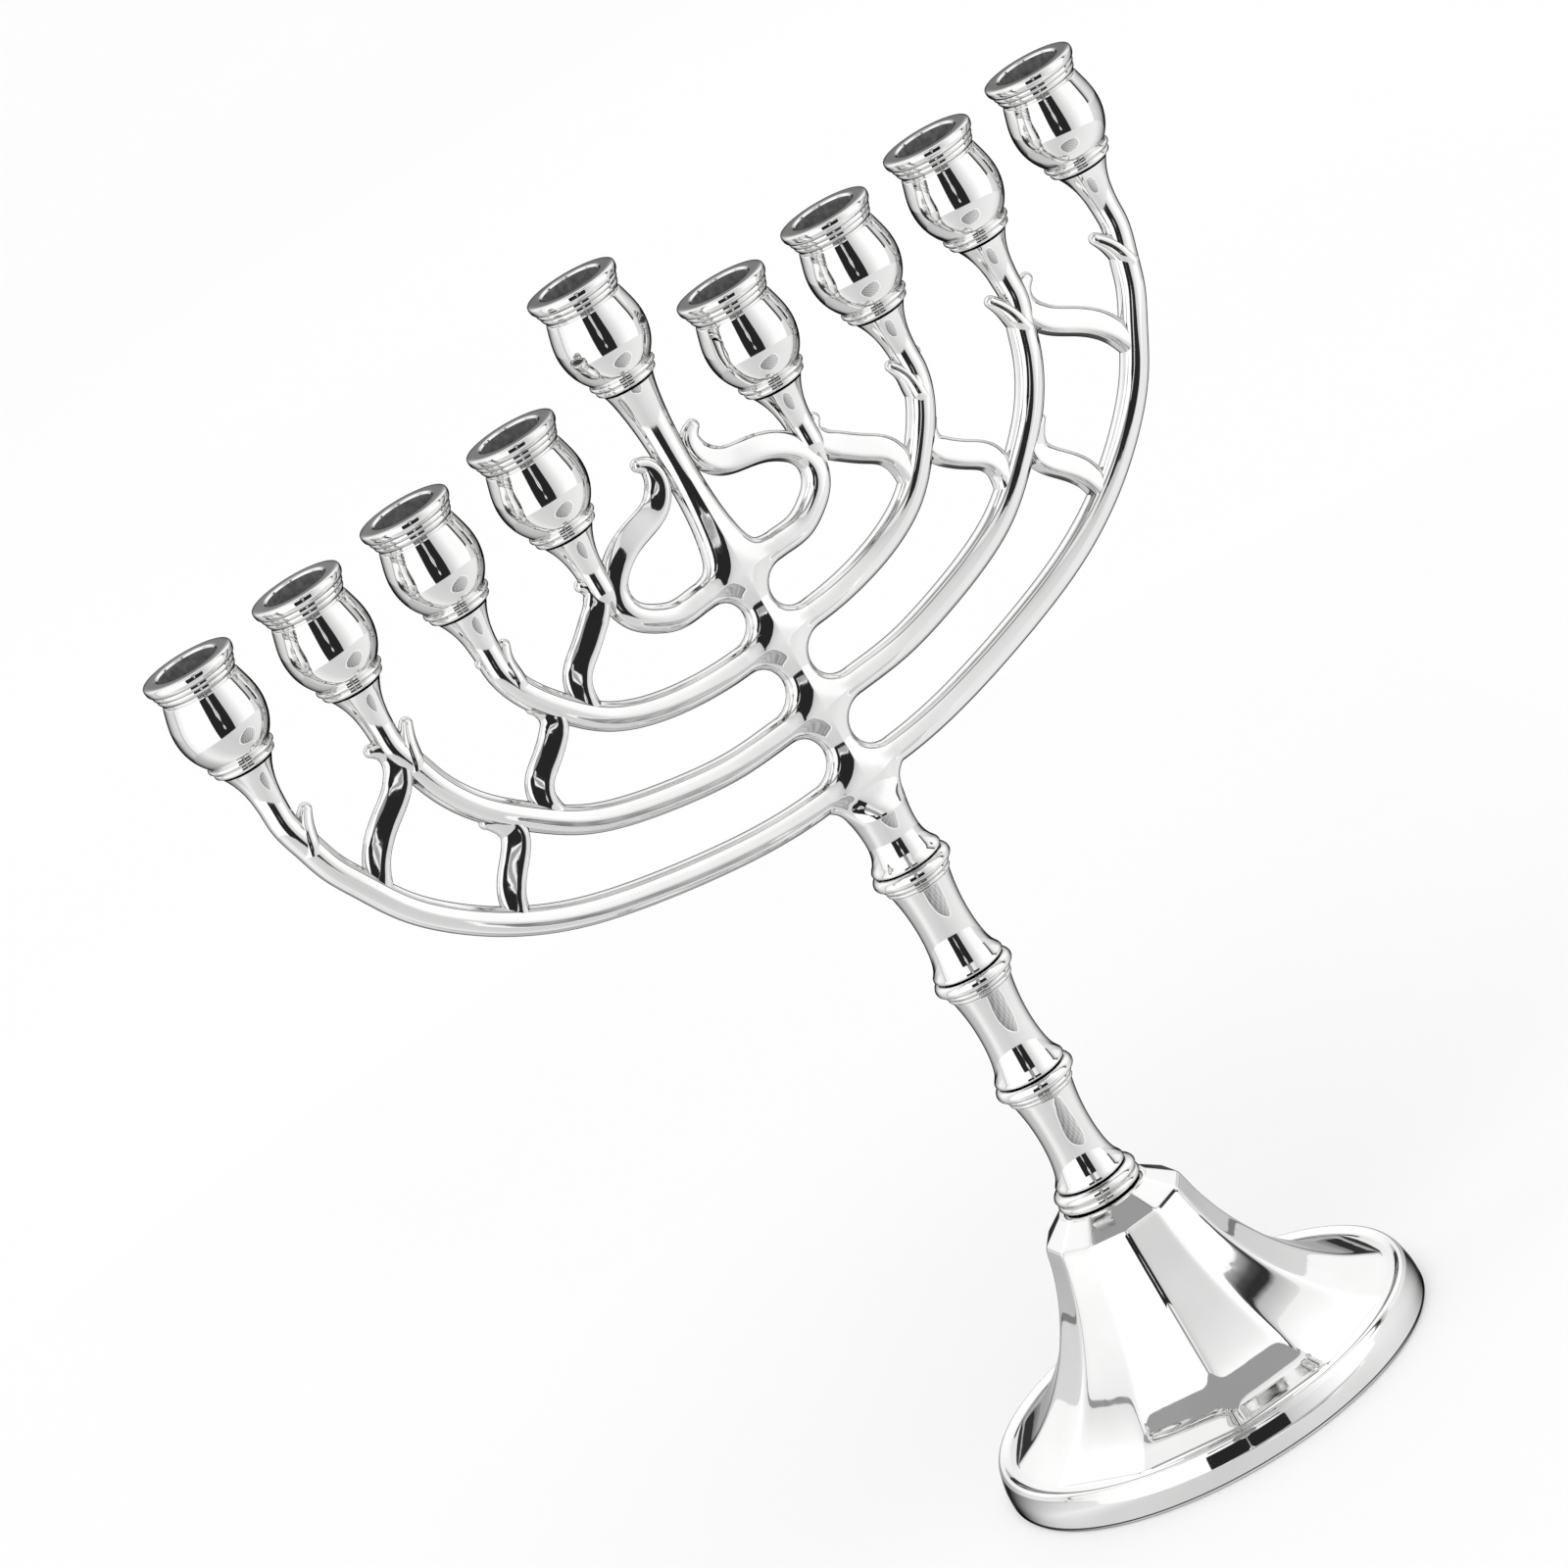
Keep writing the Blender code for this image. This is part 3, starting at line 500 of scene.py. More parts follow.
# %% The shaft's surface
def outline_points():
    """Both outlines as points (x, z), with each arm's edges carried on past the stub."""
    run = np.linspace(STUB, STUB + 6.0, 60)
    edges = []
    for level in LEVEL.values():
        edges.append(np.stack([run, np.full(60, level + ARM_R)], axis=-1))
        edges.append(np.stack([run, np.full(60, level - ARM_R)], axis=-1))
    gaps = [gap_end(LEVEL[n], LEVEL[n + 1], 200) for n in (1, 2, 3)]
    for n in (1, 2, 3):
        arc_end = SHAFT_HALF + 0.5 * (LEVEL[n] - LEVEL[n + 1]) - ARM_R
        short = np.linspace(arc_end, STUB, 30)
        edges.append(np.stack([short, np.full(30, LEVEL[n] - ARM_R)], axis=-1))
        edges.append(np.stack([short, np.full(30, LEVEL[n + 1] + ARM_R)], axis=-1))
    right = np.concatenate(edges + gaps + [densely(column), densely(tail)])
    return np.concatenate([right, right * [-1.0, 1.0]])


def densely(line, spacing=0.05):
    """The same line with points every spacing, by straight lines between its own points."""
    along = np.concatenate([[0.0], np.cumsum(np.linalg.norm(np.diff(line, axis=0), axis=1))])
    fine = np.arange(0.0, along[-1], spacing)
    return np.stack([np.interp(fine, along, line[:, 0]), np.interp(fine, along, line[:, 1])], axis=-1)


def distance_to(points, outline, block=4000):
    """The distance from each point to the nearest outline point, a block at a time."""
    found = [np.sqrt(((points[i:i + block, None] - outline[None]) ** 2).sum(-1).min(1))
             for i in range(0, len(points), block)]
    return np.concatenate(found)


def side_line(angle):
    """The pressed line: a bell curve of the angle, eight hundredths deep."""
    return 0.08 * np.exp(-((angle - 0.60) / 0.09) ** 2)


def rod_height(depth, radius):
    """Height of a round rod at a depth from its outline: R sin(a), where cos(a) = 1 - depth / R."""
    angle = np.arccos(np.clip(1.0 - depth / radius, 0.0, 1.0))
    return radius * np.sin(angle) * (1.0 - side_line(angle))


ROOF = math.radians(20.0)     # how steep the keel's two slopes are
EDGE_R = 2.5                  # radius of the round edge beside them


def keeled_height(depth, radius):
    """A round edge that runs into a flat slope: the edge stops where its slope has come down to
    ROOF. From there the height rises by tan(ROOF) per millimetre, and levels off deep inside."""
    turn_in = radius * (1.0 - math.sin(ROOF))
    edge = rod_height(np.minimum(depth, turn_in), radius)
    inside = np.maximum(depth - turn_in, 0.0)
    ridge = SHAFT_HALF - turn_in
    beyond = np.maximum(inside - ridge, 0.0)
    return edge + math.tan(ROOF) * (np.minimum(inside, ridge) + 0.9 * (1.0 - np.exp(-beyond / 0.9)))


def smooth_step(value, low, high):
    """0 below low, 1 above high, and 3 t^2 - 2 t^3 between them."""
    t = np.clip((value - low) / (high - low), 0.0, 1.0)
    return t * t * (3.0 - 2.0 * t)


def shaft_height(x, z, depth, circle):
    """Keeled between the arms, a rod where an arm begins, and round in the neck and the tail."""
    into_arm = smooth_step(np.abs(x), 3.6, STUB - 0.4) * (z > 133.0) * (z < 193.0)
    keeled = keeled_height(depth, EDGE_R)
    cast = keeled + (rod_height(np.minimum(depth, ARM_R), ARM_R) - keeled) * into_arm
    into_round = smooth_step(z, 198.0, 214.0) + 1.0 - smooth_step(z, 134.5, 139.5)
    return cast + (circle - cast) * into_round


COLUMNS = 97
lean = np.linspace(math.pi, 0.0, COLUMNS)
across = rows[:, 0:1] * np.cos(lean)[None, :]
up = rows[:, 1:2] + 0.0 * across
depth = distance_to(np.stack([across, up], -1).reshape(-1, 2), outline_points()).reshape(across.shape)
thickest = np.interp(up, [133.5, 134.2, 139.5, 190.0, 198.0], [20.0, 5.8, 3.6, 3.6, 20.0])
share = np.sqrt(np.clip(1.0 - (across / rows[:, 0:1]) ** 2, 0.0, None))
circle = share * np.minimum(rows[:, 0:1], thickest)
height_at = shaft_height(across, up, depth, circle)
front = np.stack([across, -height_at, up], axis=-1)
back = np.stack([across, height_at, up], axis=-1)[:, ::-1]
shaft_rings = np.concatenate([front, back], axis=1) * MM


def merge_doubles(piece, distance=0.002 * MM):
    """Join points that lie on each other, so the front and back share their outline."""
    shape = bmesh.new()
    shape.from_mesh(piece.data)
    bmesh.ops.remove_doubles(shape, verts=shape.verts, dist=distance)
    shape.to_mesh(piece.data)
    shape.free()
    piece.data.shade_smooth()
    piece.data.set_sharp_from_angle(angle=math.radians(50.0))


shaft = add_piece("silver_branch_shaft", shell(shaft_rings), [CAST_SILVER])
merge_doubles(shaft)
stand_in(shaft, "branch_shaft")

# %% [markdown]
# ## Arms, tendrils and leaves
#
# An arm is a rod carried along a smooth path. The path goes through a few points in the branch
# plane, joined by a cubic spline whose curvature never jumps, because a mirror shows every jump
# as a kink in the reflections. The rod's section is round near the shaft and has a faint ridge
# along its front further out. On the tendrils and the scroll it is flatter in front, like a
# ribbon with soft edges, and the flat face leans outwards.

# %% Paths and sweeps
def smooth_path(table, count):
    """A natural cubic spline through every row of the table, at count even steps along it.
    The second derivatives m solve h m0 + 2 (h + k) m1 + k m2 = 6 (slope after - slope before)."""
    table = np.asarray(table, float)
    gaps = np.linalg.norm(np.diff(table[:, :2], axis=0), axis=1)
    at = np.concatenate([[0.0], np.cumsum(gaps)])
    n = len(table)
    system = np.eye(n)
    target = np.zeros_like(table)
    inner = np.arange(1, n - 1)
    system[inner, inner] = 2 * (gaps[:-1] + gaps[1:])
    system[inner, inner - 1], system[inner, inner + 1] = gaps[:-1], gaps[1:]
    slope = np.diff(table, axis=0) / gaps[:, None]
    target[1:-1] = 6 * (slope[1:] - slope[:-1])
    bend = np.linalg.solve(system, target)
    t = np.linspace(0.0, at[-1], count)
    i = np.clip(np.searchsorted(at, t, side="right") - 1, 0, n - 2)
    h = gaps[i][:, None]
    a = ((at[i + 1] - t)[:, None]) / h
    b = 1.0 - a
    return (a * table[i] + b * table[i + 1]
            + ((a ** 3 - a) * bend[i] + (b ** 3 - b) * bend[i + 1]) * h ** 2 / 6)


def swept_rings(path, around=64):
    """Rings along a path in the branch plane. A path row is (x, z, half width, half depth,
    fullness, keel, lean). A ring is superelliptic: |cos a|^(2/n) across and |sin a|^(2/n) deep.
    A keel of 1 turns the front and back into two flat slopes that meet in a ridge. The lean, in
    degrees, turns the ring about its path, so that its flat face looks to one side."""
    centre = path[:, :2]
    along = np.gradient(centre, axis=0)
    along /= np.linalg.norm(along, axis=1)[:, None]
    square = np.stack([-along[:, 1], along[:, 0]], axis=-1)
    angle = np.linspace(0.0, 2 * math.pi, around, endpoint=False)[None, :]
    power = 2.0 / path[:, 4:5]
    near = np.sqrt(np.cos(angle) ** 2 + 0.0009)
    wide = np.sign(np.cos(angle)) * np.abs(np.cos(angle)) ** power
    deep = np.abs(np.sin(angle)) ** power
    slope = math.cos(ROOF) + (math.sin(ROOF) - near) * math.tan(ROOF)
    deep = deep + (np.where(near < math.sin(ROOF), slope, deep) - deep) * path[:, 5:6]
    from_side = np.arccos(np.clip(np.abs(np.cos(angle)), 0.0, 1.0))
    deep = np.sign(np.sin(angle)) * deep * (1.0 - side_line(from_side))
    lean = np.radians(path[:, 6:7])
    across = path[:, 2:3] * wide
    front = path[:, 3:4] * deep
    offset = across * np.cos(lean) + front * np.sin(lean)
    x = centre[:, 0:1] + offset * square[:, 0:1]
    z = centre[:, 1:2] + offset * square[:, 1:2]
    return np.stack([x, across * np.sin(lean) - front * np.cos(lean), z], axis=-1) * MM


def ball_end(path, steps=9):
    """Close a path's end with a half round: its last ring shrinks as cos and moves on as sin."""
    end, direction = path[-1], path[-1, :2] - path[-2, :2]
    direction = direction / np.linalg.norm(direction)
    swing = np.linspace(0.0, 0.5 * math.pi, steps)[1:-1]
    extra = np.repeat(end[None], len(swing), axis=0)
    extra[:, :2] += np.outer(np.sin(swing) * end[2], direction)
    extra[:, 2:4] *= np.cos(swing)[:, None]
    return np.concatenate([path, extra])


def frame_point(u, v, side):
    """A spot in the branch plane: u counts cup pitches, v is a share of the crown's height."""
    crown = SIDE_RIM / MM - NECK_DROP - LEVEL[4]
    return side * u * PITCH / MM, LEVEL[4] + v * crown


def table_for(route, side):
    """Turn (u, v, half width, half depth, fullness, lean) rows into millimetres in the frame."""
    return [(*frame_point(u, v, side), *rest, 0.0, -side * lean) for u, v, *rest, lean in route]


print("a test path has", len(smooth_path([(0, 0), (1, 2), (3, 3)], 20)), "rows")

# %% [markdown]
# The outer three arms sweep out, turn up and swell into a neck under their cup. A neck's top is
# a small trumpet. The topmost arm makes a loop, comes back as a ribbon and ends in a curl beside
# the shaft, and a short separate neck stands on it for the first cup.

# %% Eight arms
NECK_TOP_Z = SIDE_RIM / MM - NECK_DROP
NECK = ((12.0, 2.72), (9.5, 2.74), (7.5, 2.85), (4.8, 3.22), (2.6, 3.85), (1.0, 4.55), (0.0, 5.1))
ROUTES = {
    4: ((0.61, 0.003), (1.22, 0.033), (1.82, 0.082), (2.44, 0.154), (2.885, 0.238), (3.26, 0.341),
        (3.54, 0.450), (3.735, 0.566), (3.862, 0.653), (3.932, 0.732)),
    3: ((0.81, 0.226), (1.22, 0.252), (1.62, 0.290), (2.035, 0.353), (2.36, 0.441), (2.64, 0.538),
        (2.75, 0.592), (2.87, 0.678), (2.925, 0.737)),
    2: ((0.81, 0.456), (1.22, 0.495), (1.46, 0.540), (1.70, 0.621), (1.87, 0.700)),
}
SCROLL = (      # u, v, half width, half depth, fullness, lean
    (0.60, 0.653, 2.8, 2.8, 2.0, 0), (0.74, 0.676, 2.75, 2.8, 2.0, 0), (0.865, 0.713, 2.7, 2.7, 2.1, 2),
    (0.925, 0.761, 2.7, 2.5, 2.3, 8), (0.905, 0.812, 2.7, 2.3, 2.8, 16), (0.79, 0.859, 2.75, 2.2, 3.6, 20),
    (0.64, 0.888, 2.75, 2.1, 4.0, 22), (0.47, 0.904, 2.7, 2.0, 4.0, 22), (0.32, 0.922, 2.65, 1.9, 3.8, 22),
    (0.225, 0.955, 2.5, 1.9, 3.4, 22), (0.185, 0.995, 2.2, 1.8, 3.0, 18), (0.205, 1.028, 1.8, 1.6, 2.4, 8),
    (0.262, 1.044, 1.35, 1.35, 2.0, 0),
)


def root_rows(number, side):
    """The first rows of an arm: level with the shaft's stub and as thick as it."""
    return [(side * x, LEVEL[number], ARM_R, ARM_R, 2.0, 0.0, 0.0) for x in (STUB - 1.0, STUB + 0.6)]


def neck_rows(x):
    """The rows of a neck, from its drop below the cup and its radius there."""
    return [(x, NECK_TOP_Z - drop, radius, radius, 2.0, 0.0, 0.0) for drop, radius in NECK]


BUDS = {      # u, v, half width, half depth
    4: ((3.94, 0.708, 2.3, 2.9), (3.915, 0.745, 2.2, 3.05), (3.868, 0.783, 1.8, 2.4),
        (3.80, 0.815, 1.25, 1.4)),
    3: ((2.935, 0.73, 2.3, 2.9), (2.915, 0.762, 2.2, 3.05), (2.873, 0.806, 1.75, 2.4),
        (2.812, 0.843, 1.25, 1.4)),
    2: ((1.935, 0.745, 2.2, 2.9), (1.93, 0.775, 2.1, 3.05), (1.912, 0.826, 1.6, 2.3),
        (1.862, 0.860, 1.2, 1.3)),
    -2: ((1.93, 0.755, 2.0, 2.8), (1.945, 0.785, 2.0, 2.9), (2.005, 0.828, 1.5, 2.2),
         (2.085, 0.856, 1.1, 1.2)),
}


def bud_shell(key, side):
    """A small curled leaf: it lies across the arm's front, leaves it, and ends in a bead."""
    table = [(*frame_point(u, v, side), r, d, 2.0, 0.0, 0.0) for u, v, r, d in BUDS[key]]
    return shell(swept_rings(ball_end(smooth_path(table, 26)), 40))


def make_arm(number, side_name, side):
    """One arm with its neck and its curled leaves, as closed shells that sink into each other."""
    x = side * number * PITCH / MM
    if number == 1:
        arm = smooth_path(root_rows(1, side) + table_for(SCROLL, side), 190)
        shells = [shell(swept_rings(ball_end(arm)))]
        low = [(x, NECK_TOP_Z - drop, r, r, 2.0, 0.0, 0.0) for drop, r in ((17.0, 1.7), (14.5, 2.4))]
        shells.append(shell(swept_rings(smooth_path(low + neck_rows(x), 60))))
    else:
        keel = [float(smooth_step(0.75 - v, 0.05, 0.35)) for _, v in ROUTES[number]]
        route = [(*frame_point(u, v, side), ARM_R, ARM_R, 2.0, k, 0.0)
                 for (u, v), k in zip(ROUTES[number], keel)]
        path = smooth_path(root_rows(number, side) + route + neck_rows(x), 230)
        shells = [shell(swept_rings(path))]
    shells += [bud_shell(key, side) for key in (number, -number) if key in BUDS]
    node_name = f"arm_{number}_{side_name}"
    stand_in(add_piece("silver_" + node_name, join_shells(shells), [CAST_SILVER]), node_name)


for number in (1, 2, 3, 4):
    for side_name, side in SIDES:
        make_arm(number, side_name, side)

# %% [markdown]
# A tendril leaves one arm, crosses to the next one in a lazy S, and ends in a curl that stands
# free beside it. Each is a ribbon with a flat face that tapers to a bead.

# %% Eight tendrils
TENDRILS = {
    "a": ((3.63, 0.515), (3.58, 0.565), (3.475, 0.620), (3.32, 0.665), (3.165, 0.703), (3.068, 0.742),
          (3.03, 0.785), (3.075, 0.822), (3.15, 0.838)),
    "b": ((2.84, 0.228), (2.79, 0.300), (2.68, 0.355), (2.575, 0.398), (2.532, 0.436), (2.565, 0.470),
          (2.62, 0.488), (2.68, 0.500)),
    "c": ((2.18, 0.400), (2.21, 0.455), (2.17, 0.500), (2.045, 0.538), (1.905, 0.578), (1.825, 0.622),
          (1.86, 0.660), (1.92, 0.678)),
    "d": ((1.54, 0.565), (1.545, 0.625), (1.485, 0.680), (1.34, 0.722), (1.18, 0.767), (1.072, 0.808),
          (1.062, 0.847), (1.115, 0.868)),
}
RIBBON = (      # share of the way, half width, half depth, fullness, lean
    (0.0, 2.4, 2.2, 2.2, 10.0), (0.12, 2.55, 2.1, 3.0, 20.0), (0.3, 2.7, 2.0, 4.0, 22.0),
    (0.7, 2.7, 1.95, 4.0, 22.0), (0.84, 2.5, 1.85, 3.2, 20.0), (0.93, 2.0, 1.6, 2.6, 12.0),
    (1.0, 1.3, 1.3, 2.0, 4.0),
)


def make_tendril(letter, side_name, side):
    """A ribbon along its route; its width, depth, fullness and lean follow the share of the way."""
    route = np.array([frame_point(u, v, side) for u, v in TENDRILS[letter]])
    line = smooth_path(route, 120)
    share = np.linspace(0.0, 1.0, len(line))
    ribbon = np.array(RIBBON).T
    width, half_depth, fullness, lean = (np.interp(share, ribbon[0], row) for row in ribbon[1:])
    sizes = np.stack([width, half_depth, fullness, 0.0 * share, -side * lean], axis=-1)
    path = ball_end(np.concatenate([line, sizes], axis=1))
    node_name = f"tendril_{letter}_{side_name}"
    stand_in(add_piece("silver_" + node_name, shell(swept_rings(path)), [CAST_SILVER]), node_name)


for letter in "abcd":
    for side_name, side in SIDES:
        make_tendril(letter, side_name, side)

# %% [markdown]
# ## Floor, light and the room around it
#
# A mirror shows its room, so the room is half of the look. Here it is a tent of pale cloth. A
# round table top is pale grey. Bright walls stand to the left and right of the lens, with a dark
# slit for the lens between them. The roof is grey, the far wall is pale, and the table's far
# side is dark, which draws a dark line round every rounded edge. These cards only show in
# reflections. The real floor gets its light from a broad, soft sun and an even sky.
#
# Each card carries its brightness as a number at every corner, and one glowing material reads
# it. So one wall can fade from grey to white without a second material.

# %% Tent
def tent_glow():
    """A material that gives off as much light as the card's own "shade" number says."""
    material = bpy.data.materials.new("tent_glow")
    material.use_nodes = True
    tree = material.node_tree
    tree.nodes.remove(tree.nodes["Principled BSDF"])
    shade = tree.nodes.new("ShaderNodeAttribute")
    shade.attribute_name = "shade"
    light = node(tree, "ShaderNodeEmission", Color=(1.0, 1.0, 1.0, 1.0))
    tree.links.new(shade.outputs["Fac"], light.inputs["Strength"])
    tree.links.new(light.outputs["Emission"], tree.nodes["Material Output"].inputs["Surface"])
    return material


TENT_GLOW = tent_glow()
LENS_SIDE = math.radians(-90.0 - 19.7)     # the direction from the object to the lens


def card(name, points, faces, shades):
    """A stage card that only reflections see, with one shade per point."""
    mesh = bpy.data.meshes.new(name)
    mesh.from_pydata([tuple(map(float, p)) for p in points], [], faces)
    mesh.materials.append(TENT_GLOW)
    mesh.attributes.new("shade", "FLOAT", "POINT").data.foreach_set("value", np.float32(shades))
    made = bpy.data.objects.new(name, mesh)
    bpy.context.scene.collection.objects.link(made)
    made.visible_camera = made.visible_diffuse = made.visible_shadow = False
    return made


def strip(name, first, second, shades, other=None):
    """A band between two rows of points, with a shade at each point. Where only one row of
    shades is given, both edges take it."""
    n = len(first)
    faces = [(i, i + 1, n + i + 1, n + i) for i in range(n - 1)]
    both = np.concatenate([shades, shades if other is None else other])
    return card(name, np.concatenate([first, second]), faces, both)


def round_about(directions, reach, height):
    """Points on a circle round the object, with directions in degrees from the lens side."""
    turn = LENS_SIDE + np.radians(directions)
    return np.stack([reach * np.cos(turn), reach * np.sin(turn), height + 0.0 * turn], axis=-1)


def tent_wall(name, marks, low, high, reach):
    """Part of an upright drum. Marks are (direction, shade) pairs, and shades fade between."""
    at, shade = np.array(marks, float).T
    directions = np.linspace(at[0], at[-1], 2 + int((at[-1] - at[0]) / 2))
    strip(name, round_about(directions, reach, low), round_about(directions, reach, high),
          np.interp(directions, at, shade))


def table_ring(name, marks, inner, outer, height):
    """Part of the table top between two circles."""
    at, shade = np.array(marks, float).T
    directions = np.linspace(at[0], at[-1], 2 + int((at[-1] - at[0]) / 3))
    strip(name, round_about(directions, inner, height), round_about(directions, outer, height),
          np.interp(directions, at, shade))


WALL, FAR_WALL = 1.2, 1.5     # how far the near walls and the far wall stand
BASE, TOP = -0.6, 3.2         # where the walls start and end
TABLE = 0.476                 # radius of the table top
SLIT, SLIT_TOP = 21.5, 0.80   # half the slit's width in degrees, and its height
FAR_LOW, FAR_HIGH = -0.03, 0.32
tent_wall("wall_left", [(-100, 0.9), (-80, 1.1), (-SLIT, 1.1)], BASE, TOP, WALL)
tent_wall("wall_right", [(SLIT, 0.60), (34, 0.76), (55, 1.05), (90, 1.1)], BASE, TOP, WALL)
tent_wall("slit", [(-SLIT, 0.02), (SLIT, 0.02)], BASE, SLIT_TOP, WALL)
tent_wall("above_slit_left", [(-SLIT, 1.1), (-7, 0.95)], SLIT_TOP, TOP, WALL)
tent_wall("above_slit", [(-7, 0.30), (7, 0.36)], SLIT_TOP, TOP, WALL)
tent_wall("above_slit_right", [(7, 0.95), (SLIT, 0.75)], SLIT_TOP, TOP, WALL)
tent_wall("corner_right", [(90, 0.45), (92, 0.03), (96, 0.03), (97, 0.5), (104, 0.8)], 0.10, TOP, WALL)
tent_wall("corner_left", [(-102, 0.3), (-100, 0.3)], BASE, TOP, WALL)
tent_wall("far_wall", [(90, 0.8), (130, 1.15), (230, 1.15), (258, 0.8)], FAR_HIGH, TOP, FAR_WALL)
tent_wall("far_middle", [(90, 0.8), (130, 0.9), (165, 0.7), (195, 0.7), (230, 0.9), (258, 0.8)],
          FAR_LOW, FAR_HIGH, FAR_WALL)
tent_wall("far_low", [(90, 0.8), (125, 0.7), (147, 0.05), (213, 0.05), (235, 0.7), (258, 0.8)],
          BASE, FAR_LOW, FAR_WALL)
NEAR = [(-150, 0.70), (-100, 0.60), (-75, 0.95), (-50, 0.72), (-10, 0.66), (60, 0.84), (100, 0.92),
        (150, 0.70)]
table_ring("table_near", NEAR, 0.0, TABLE, 0.0002)
table_ring("table_far", [(150, 0.70), (158, 0.05), (202, 0.05), (210, 0.70)], 0.26, TABLE, 0.0002)
table_ring("table_middle", [(150, 0.70), (166, 0.12), (194, 0.12), (210, 0.70)], 0.11, 0.26, 0.0002)
table_ring("table_inner", [(150, 0.70), (210, 0.70)], 0.0, 0.11, 0.0002)
table_ring("roof", [(0, 0.34), (360, 0.34)], 0.0, 2.6, 3.0)
table_ring("roof_far", [(112, 0.8), (130, 0.95), (230, 0.95), (248, 0.8)], 0.75, 2.6, 2.95)
print("the tent has a table", 2 * TABLE, "m across and walls", 2 * WALL, "m apart")

# %% [markdown]
# A few small things stand in the tent. A pale figure behind the slit is the lens and its stand.
# A folded cloth on the table, shaped like a leaf, gives the stem its grey patches: it is a grid
# of points whose shades ripple like creased cloth. A dark cloth is heaped behind the object, wide
# at its foot and narrow at its top. A dark ring on the table round the rim is a painted shadow:
# the foot's contact shadow, seen only in the rim's reflection.

# %% Figure, cloths and the painted shadow round the rim
lens_heights = np.array([-0.14, -0.10, -0.04, 0.02, 0.06, 0.12, 0.20, 0.26, 0.33, 0.40, 0.48, 0.54, 0.60,
                         0.66, 0.72])
lens_spread = np.array([0.4, 1.6, 2.2, 1.4, 0.3, 0.15, 0.15, 1.6, 2.6, 3.4, 3.0, 2.0, 2.8, 3.2, 0.8])
lens_rise = np.outer(lens_heights, [0, 0, 1])
for part, width, ahead, shade in (("lens_light", 1.0, 0.02, 1.0), ("lens_core", 0.42, 0.04, 0.35)):
    left_edge = round_about(-width * lens_spread, WALL - ahead, 0.0) + lens_rise
    right_edge = round_about(0.85 * width * lens_spread, WALL - ahead, 0.0) + lens_rise
    strip(part, left_edge, right_edge, np.full(len(lens_heights), shade))

LEAF_ROWS, LEAF_COLUMNS = 24, 20
along = np.linspace(0.0, 1.0, LEAF_ROWS)[:, None]
across = np.linspace(0.0, 1.0, LEAF_COLUMNS)[None, :]
leaf_left = np.interp(along, [0.0, 0.06, 0.16, 0.32, 0.52, 0.72, 0.90, 1.0],
                      [30.0, 12.0, -2.0, -10.0, -10.0, 0.0, 16.0, 33.0])
leaf_right = np.interp(along, [0.0, 0.06, 0.16, 0.32, 0.52, 0.72, 0.90, 1.0],
                       [33.0, 46.0, 54.0, 58.0, 57.0, 51.0, 44.0, 36.0])
leaf_reach = 0.078 + 0.197 * along
creases = 0.16 * np.sin(23.0 * across + 7.0 * along) * np.sin(31.0 * along - 9.0 * across + 1.0)
leaf_shade = 0.26 + 0.42 * across + creases


def leaf(name, grow, height, shades):
    """The leaf's outline, grown by some degrees, as a grid: left to right across it, near to far
    along it, with a shade at every point."""
    directions = (leaf_left - grow) * (1.0 - across) + (leaf_right + grow) * across
    reach = leaf_reach + 0.008 * (along - 0.25) * (grow > 0.0)
    points = round_about(directions.ravel(), (reach + 0.0 * across).ravel(), height)
    row, column = np.arange(LEAF_ROWS - 1)[:, None], np.arange(LEAF_COLUMNS - 1)[None, :]
    first = (row * LEAF_COLUMNS + column).ravel()
    faces = np.stack([first, first + 1, first + LEAF_COLUMNS + 1, first + LEAF_COLUMNS], axis=-1)
    card(name, points, faces.tolist(), (shades + 0.0 * directions).ravel())


leaf("leaf_hem", 3.0, 0.0004, np.float64(1.05))
leaf("leaf", 0.0, 0.0006, leaf_shade)

# The heap's half width, in degrees, falls from 33 at its foot towards 12 as e^(-9 height).
heap_heights = np.linspace(FAR_LOW, FAR_HIGH, 15)
heap_spread = 12.0 + 21.0 * np.exp(-9.0 * (heap_heights - FAR_LOW))
heap_rise = np.outer(heap_heights, [0, 0, 1])
heap_left = round_about(180.0 - heap_spread, FAR_WALL - 0.01, 0.0) + heap_rise
heap_right = round_about(180.0 + heap_spread, FAR_WALL - 0.01, 0.0) + heap_rise
strip("heap", heap_left, heap_right, np.full(len(heap_heights), 0.06))
# A dark ring on the table round the rim: a painted contact shadow, seen only in reflections.
table_ring("painted_rim_shadow", [(0, 0.08), (360, 0.08)], FOOT_R, FOOT_R + 1.0 * MM, 0.3 * MM)
print("the leaf has", leaf_shade.size, "points and the heap is", heap_heights[-1], "m high")

# %% Floor
floor_material = bpy.data.materials.new("pale_floor")
floor_material.use_nodes = True
floor_shader = floor_material.node_tree.nodes["Principled BSDF"]
floor_shader.inputs["Roughness"].default_value = 0.9
floor_shader.inputs["Specular IOR Level"].default_value = 0.1
floor_tree = floor_material.node_tree
floor_noise = noise_on_object(floor_tree, 3.0)
floor_tone = floor_tree.nodes.new("ShaderNodeValToRGB")
floor_tone.color_ramp.elements[0].color = (0.86, 0.86, 0.86, 1.0)
floor_tone.color_ramp.elements[1].color = (0.88, 0.88, 0.88, 1.0)
floor_tree.links.new(floor_noise.outputs["Fac"], floor_tone.inputs["Fac"])
floor_tree.links.new(floor_tone.outputs["Color"], floor_shader.inputs["Base Color"])
floor_mesh = bpy.data.meshes.new("floor")
floor_mesh.from_pydata([(-12, -12, 0), (12, -12, 0), (12, 12, 0), (-12, 12, 0)], [], [(0, 1, 2, 3)])
floor_mesh.materials.append(floor_material)
floor = bpy.data.objects.new("floor", floor_mesh)
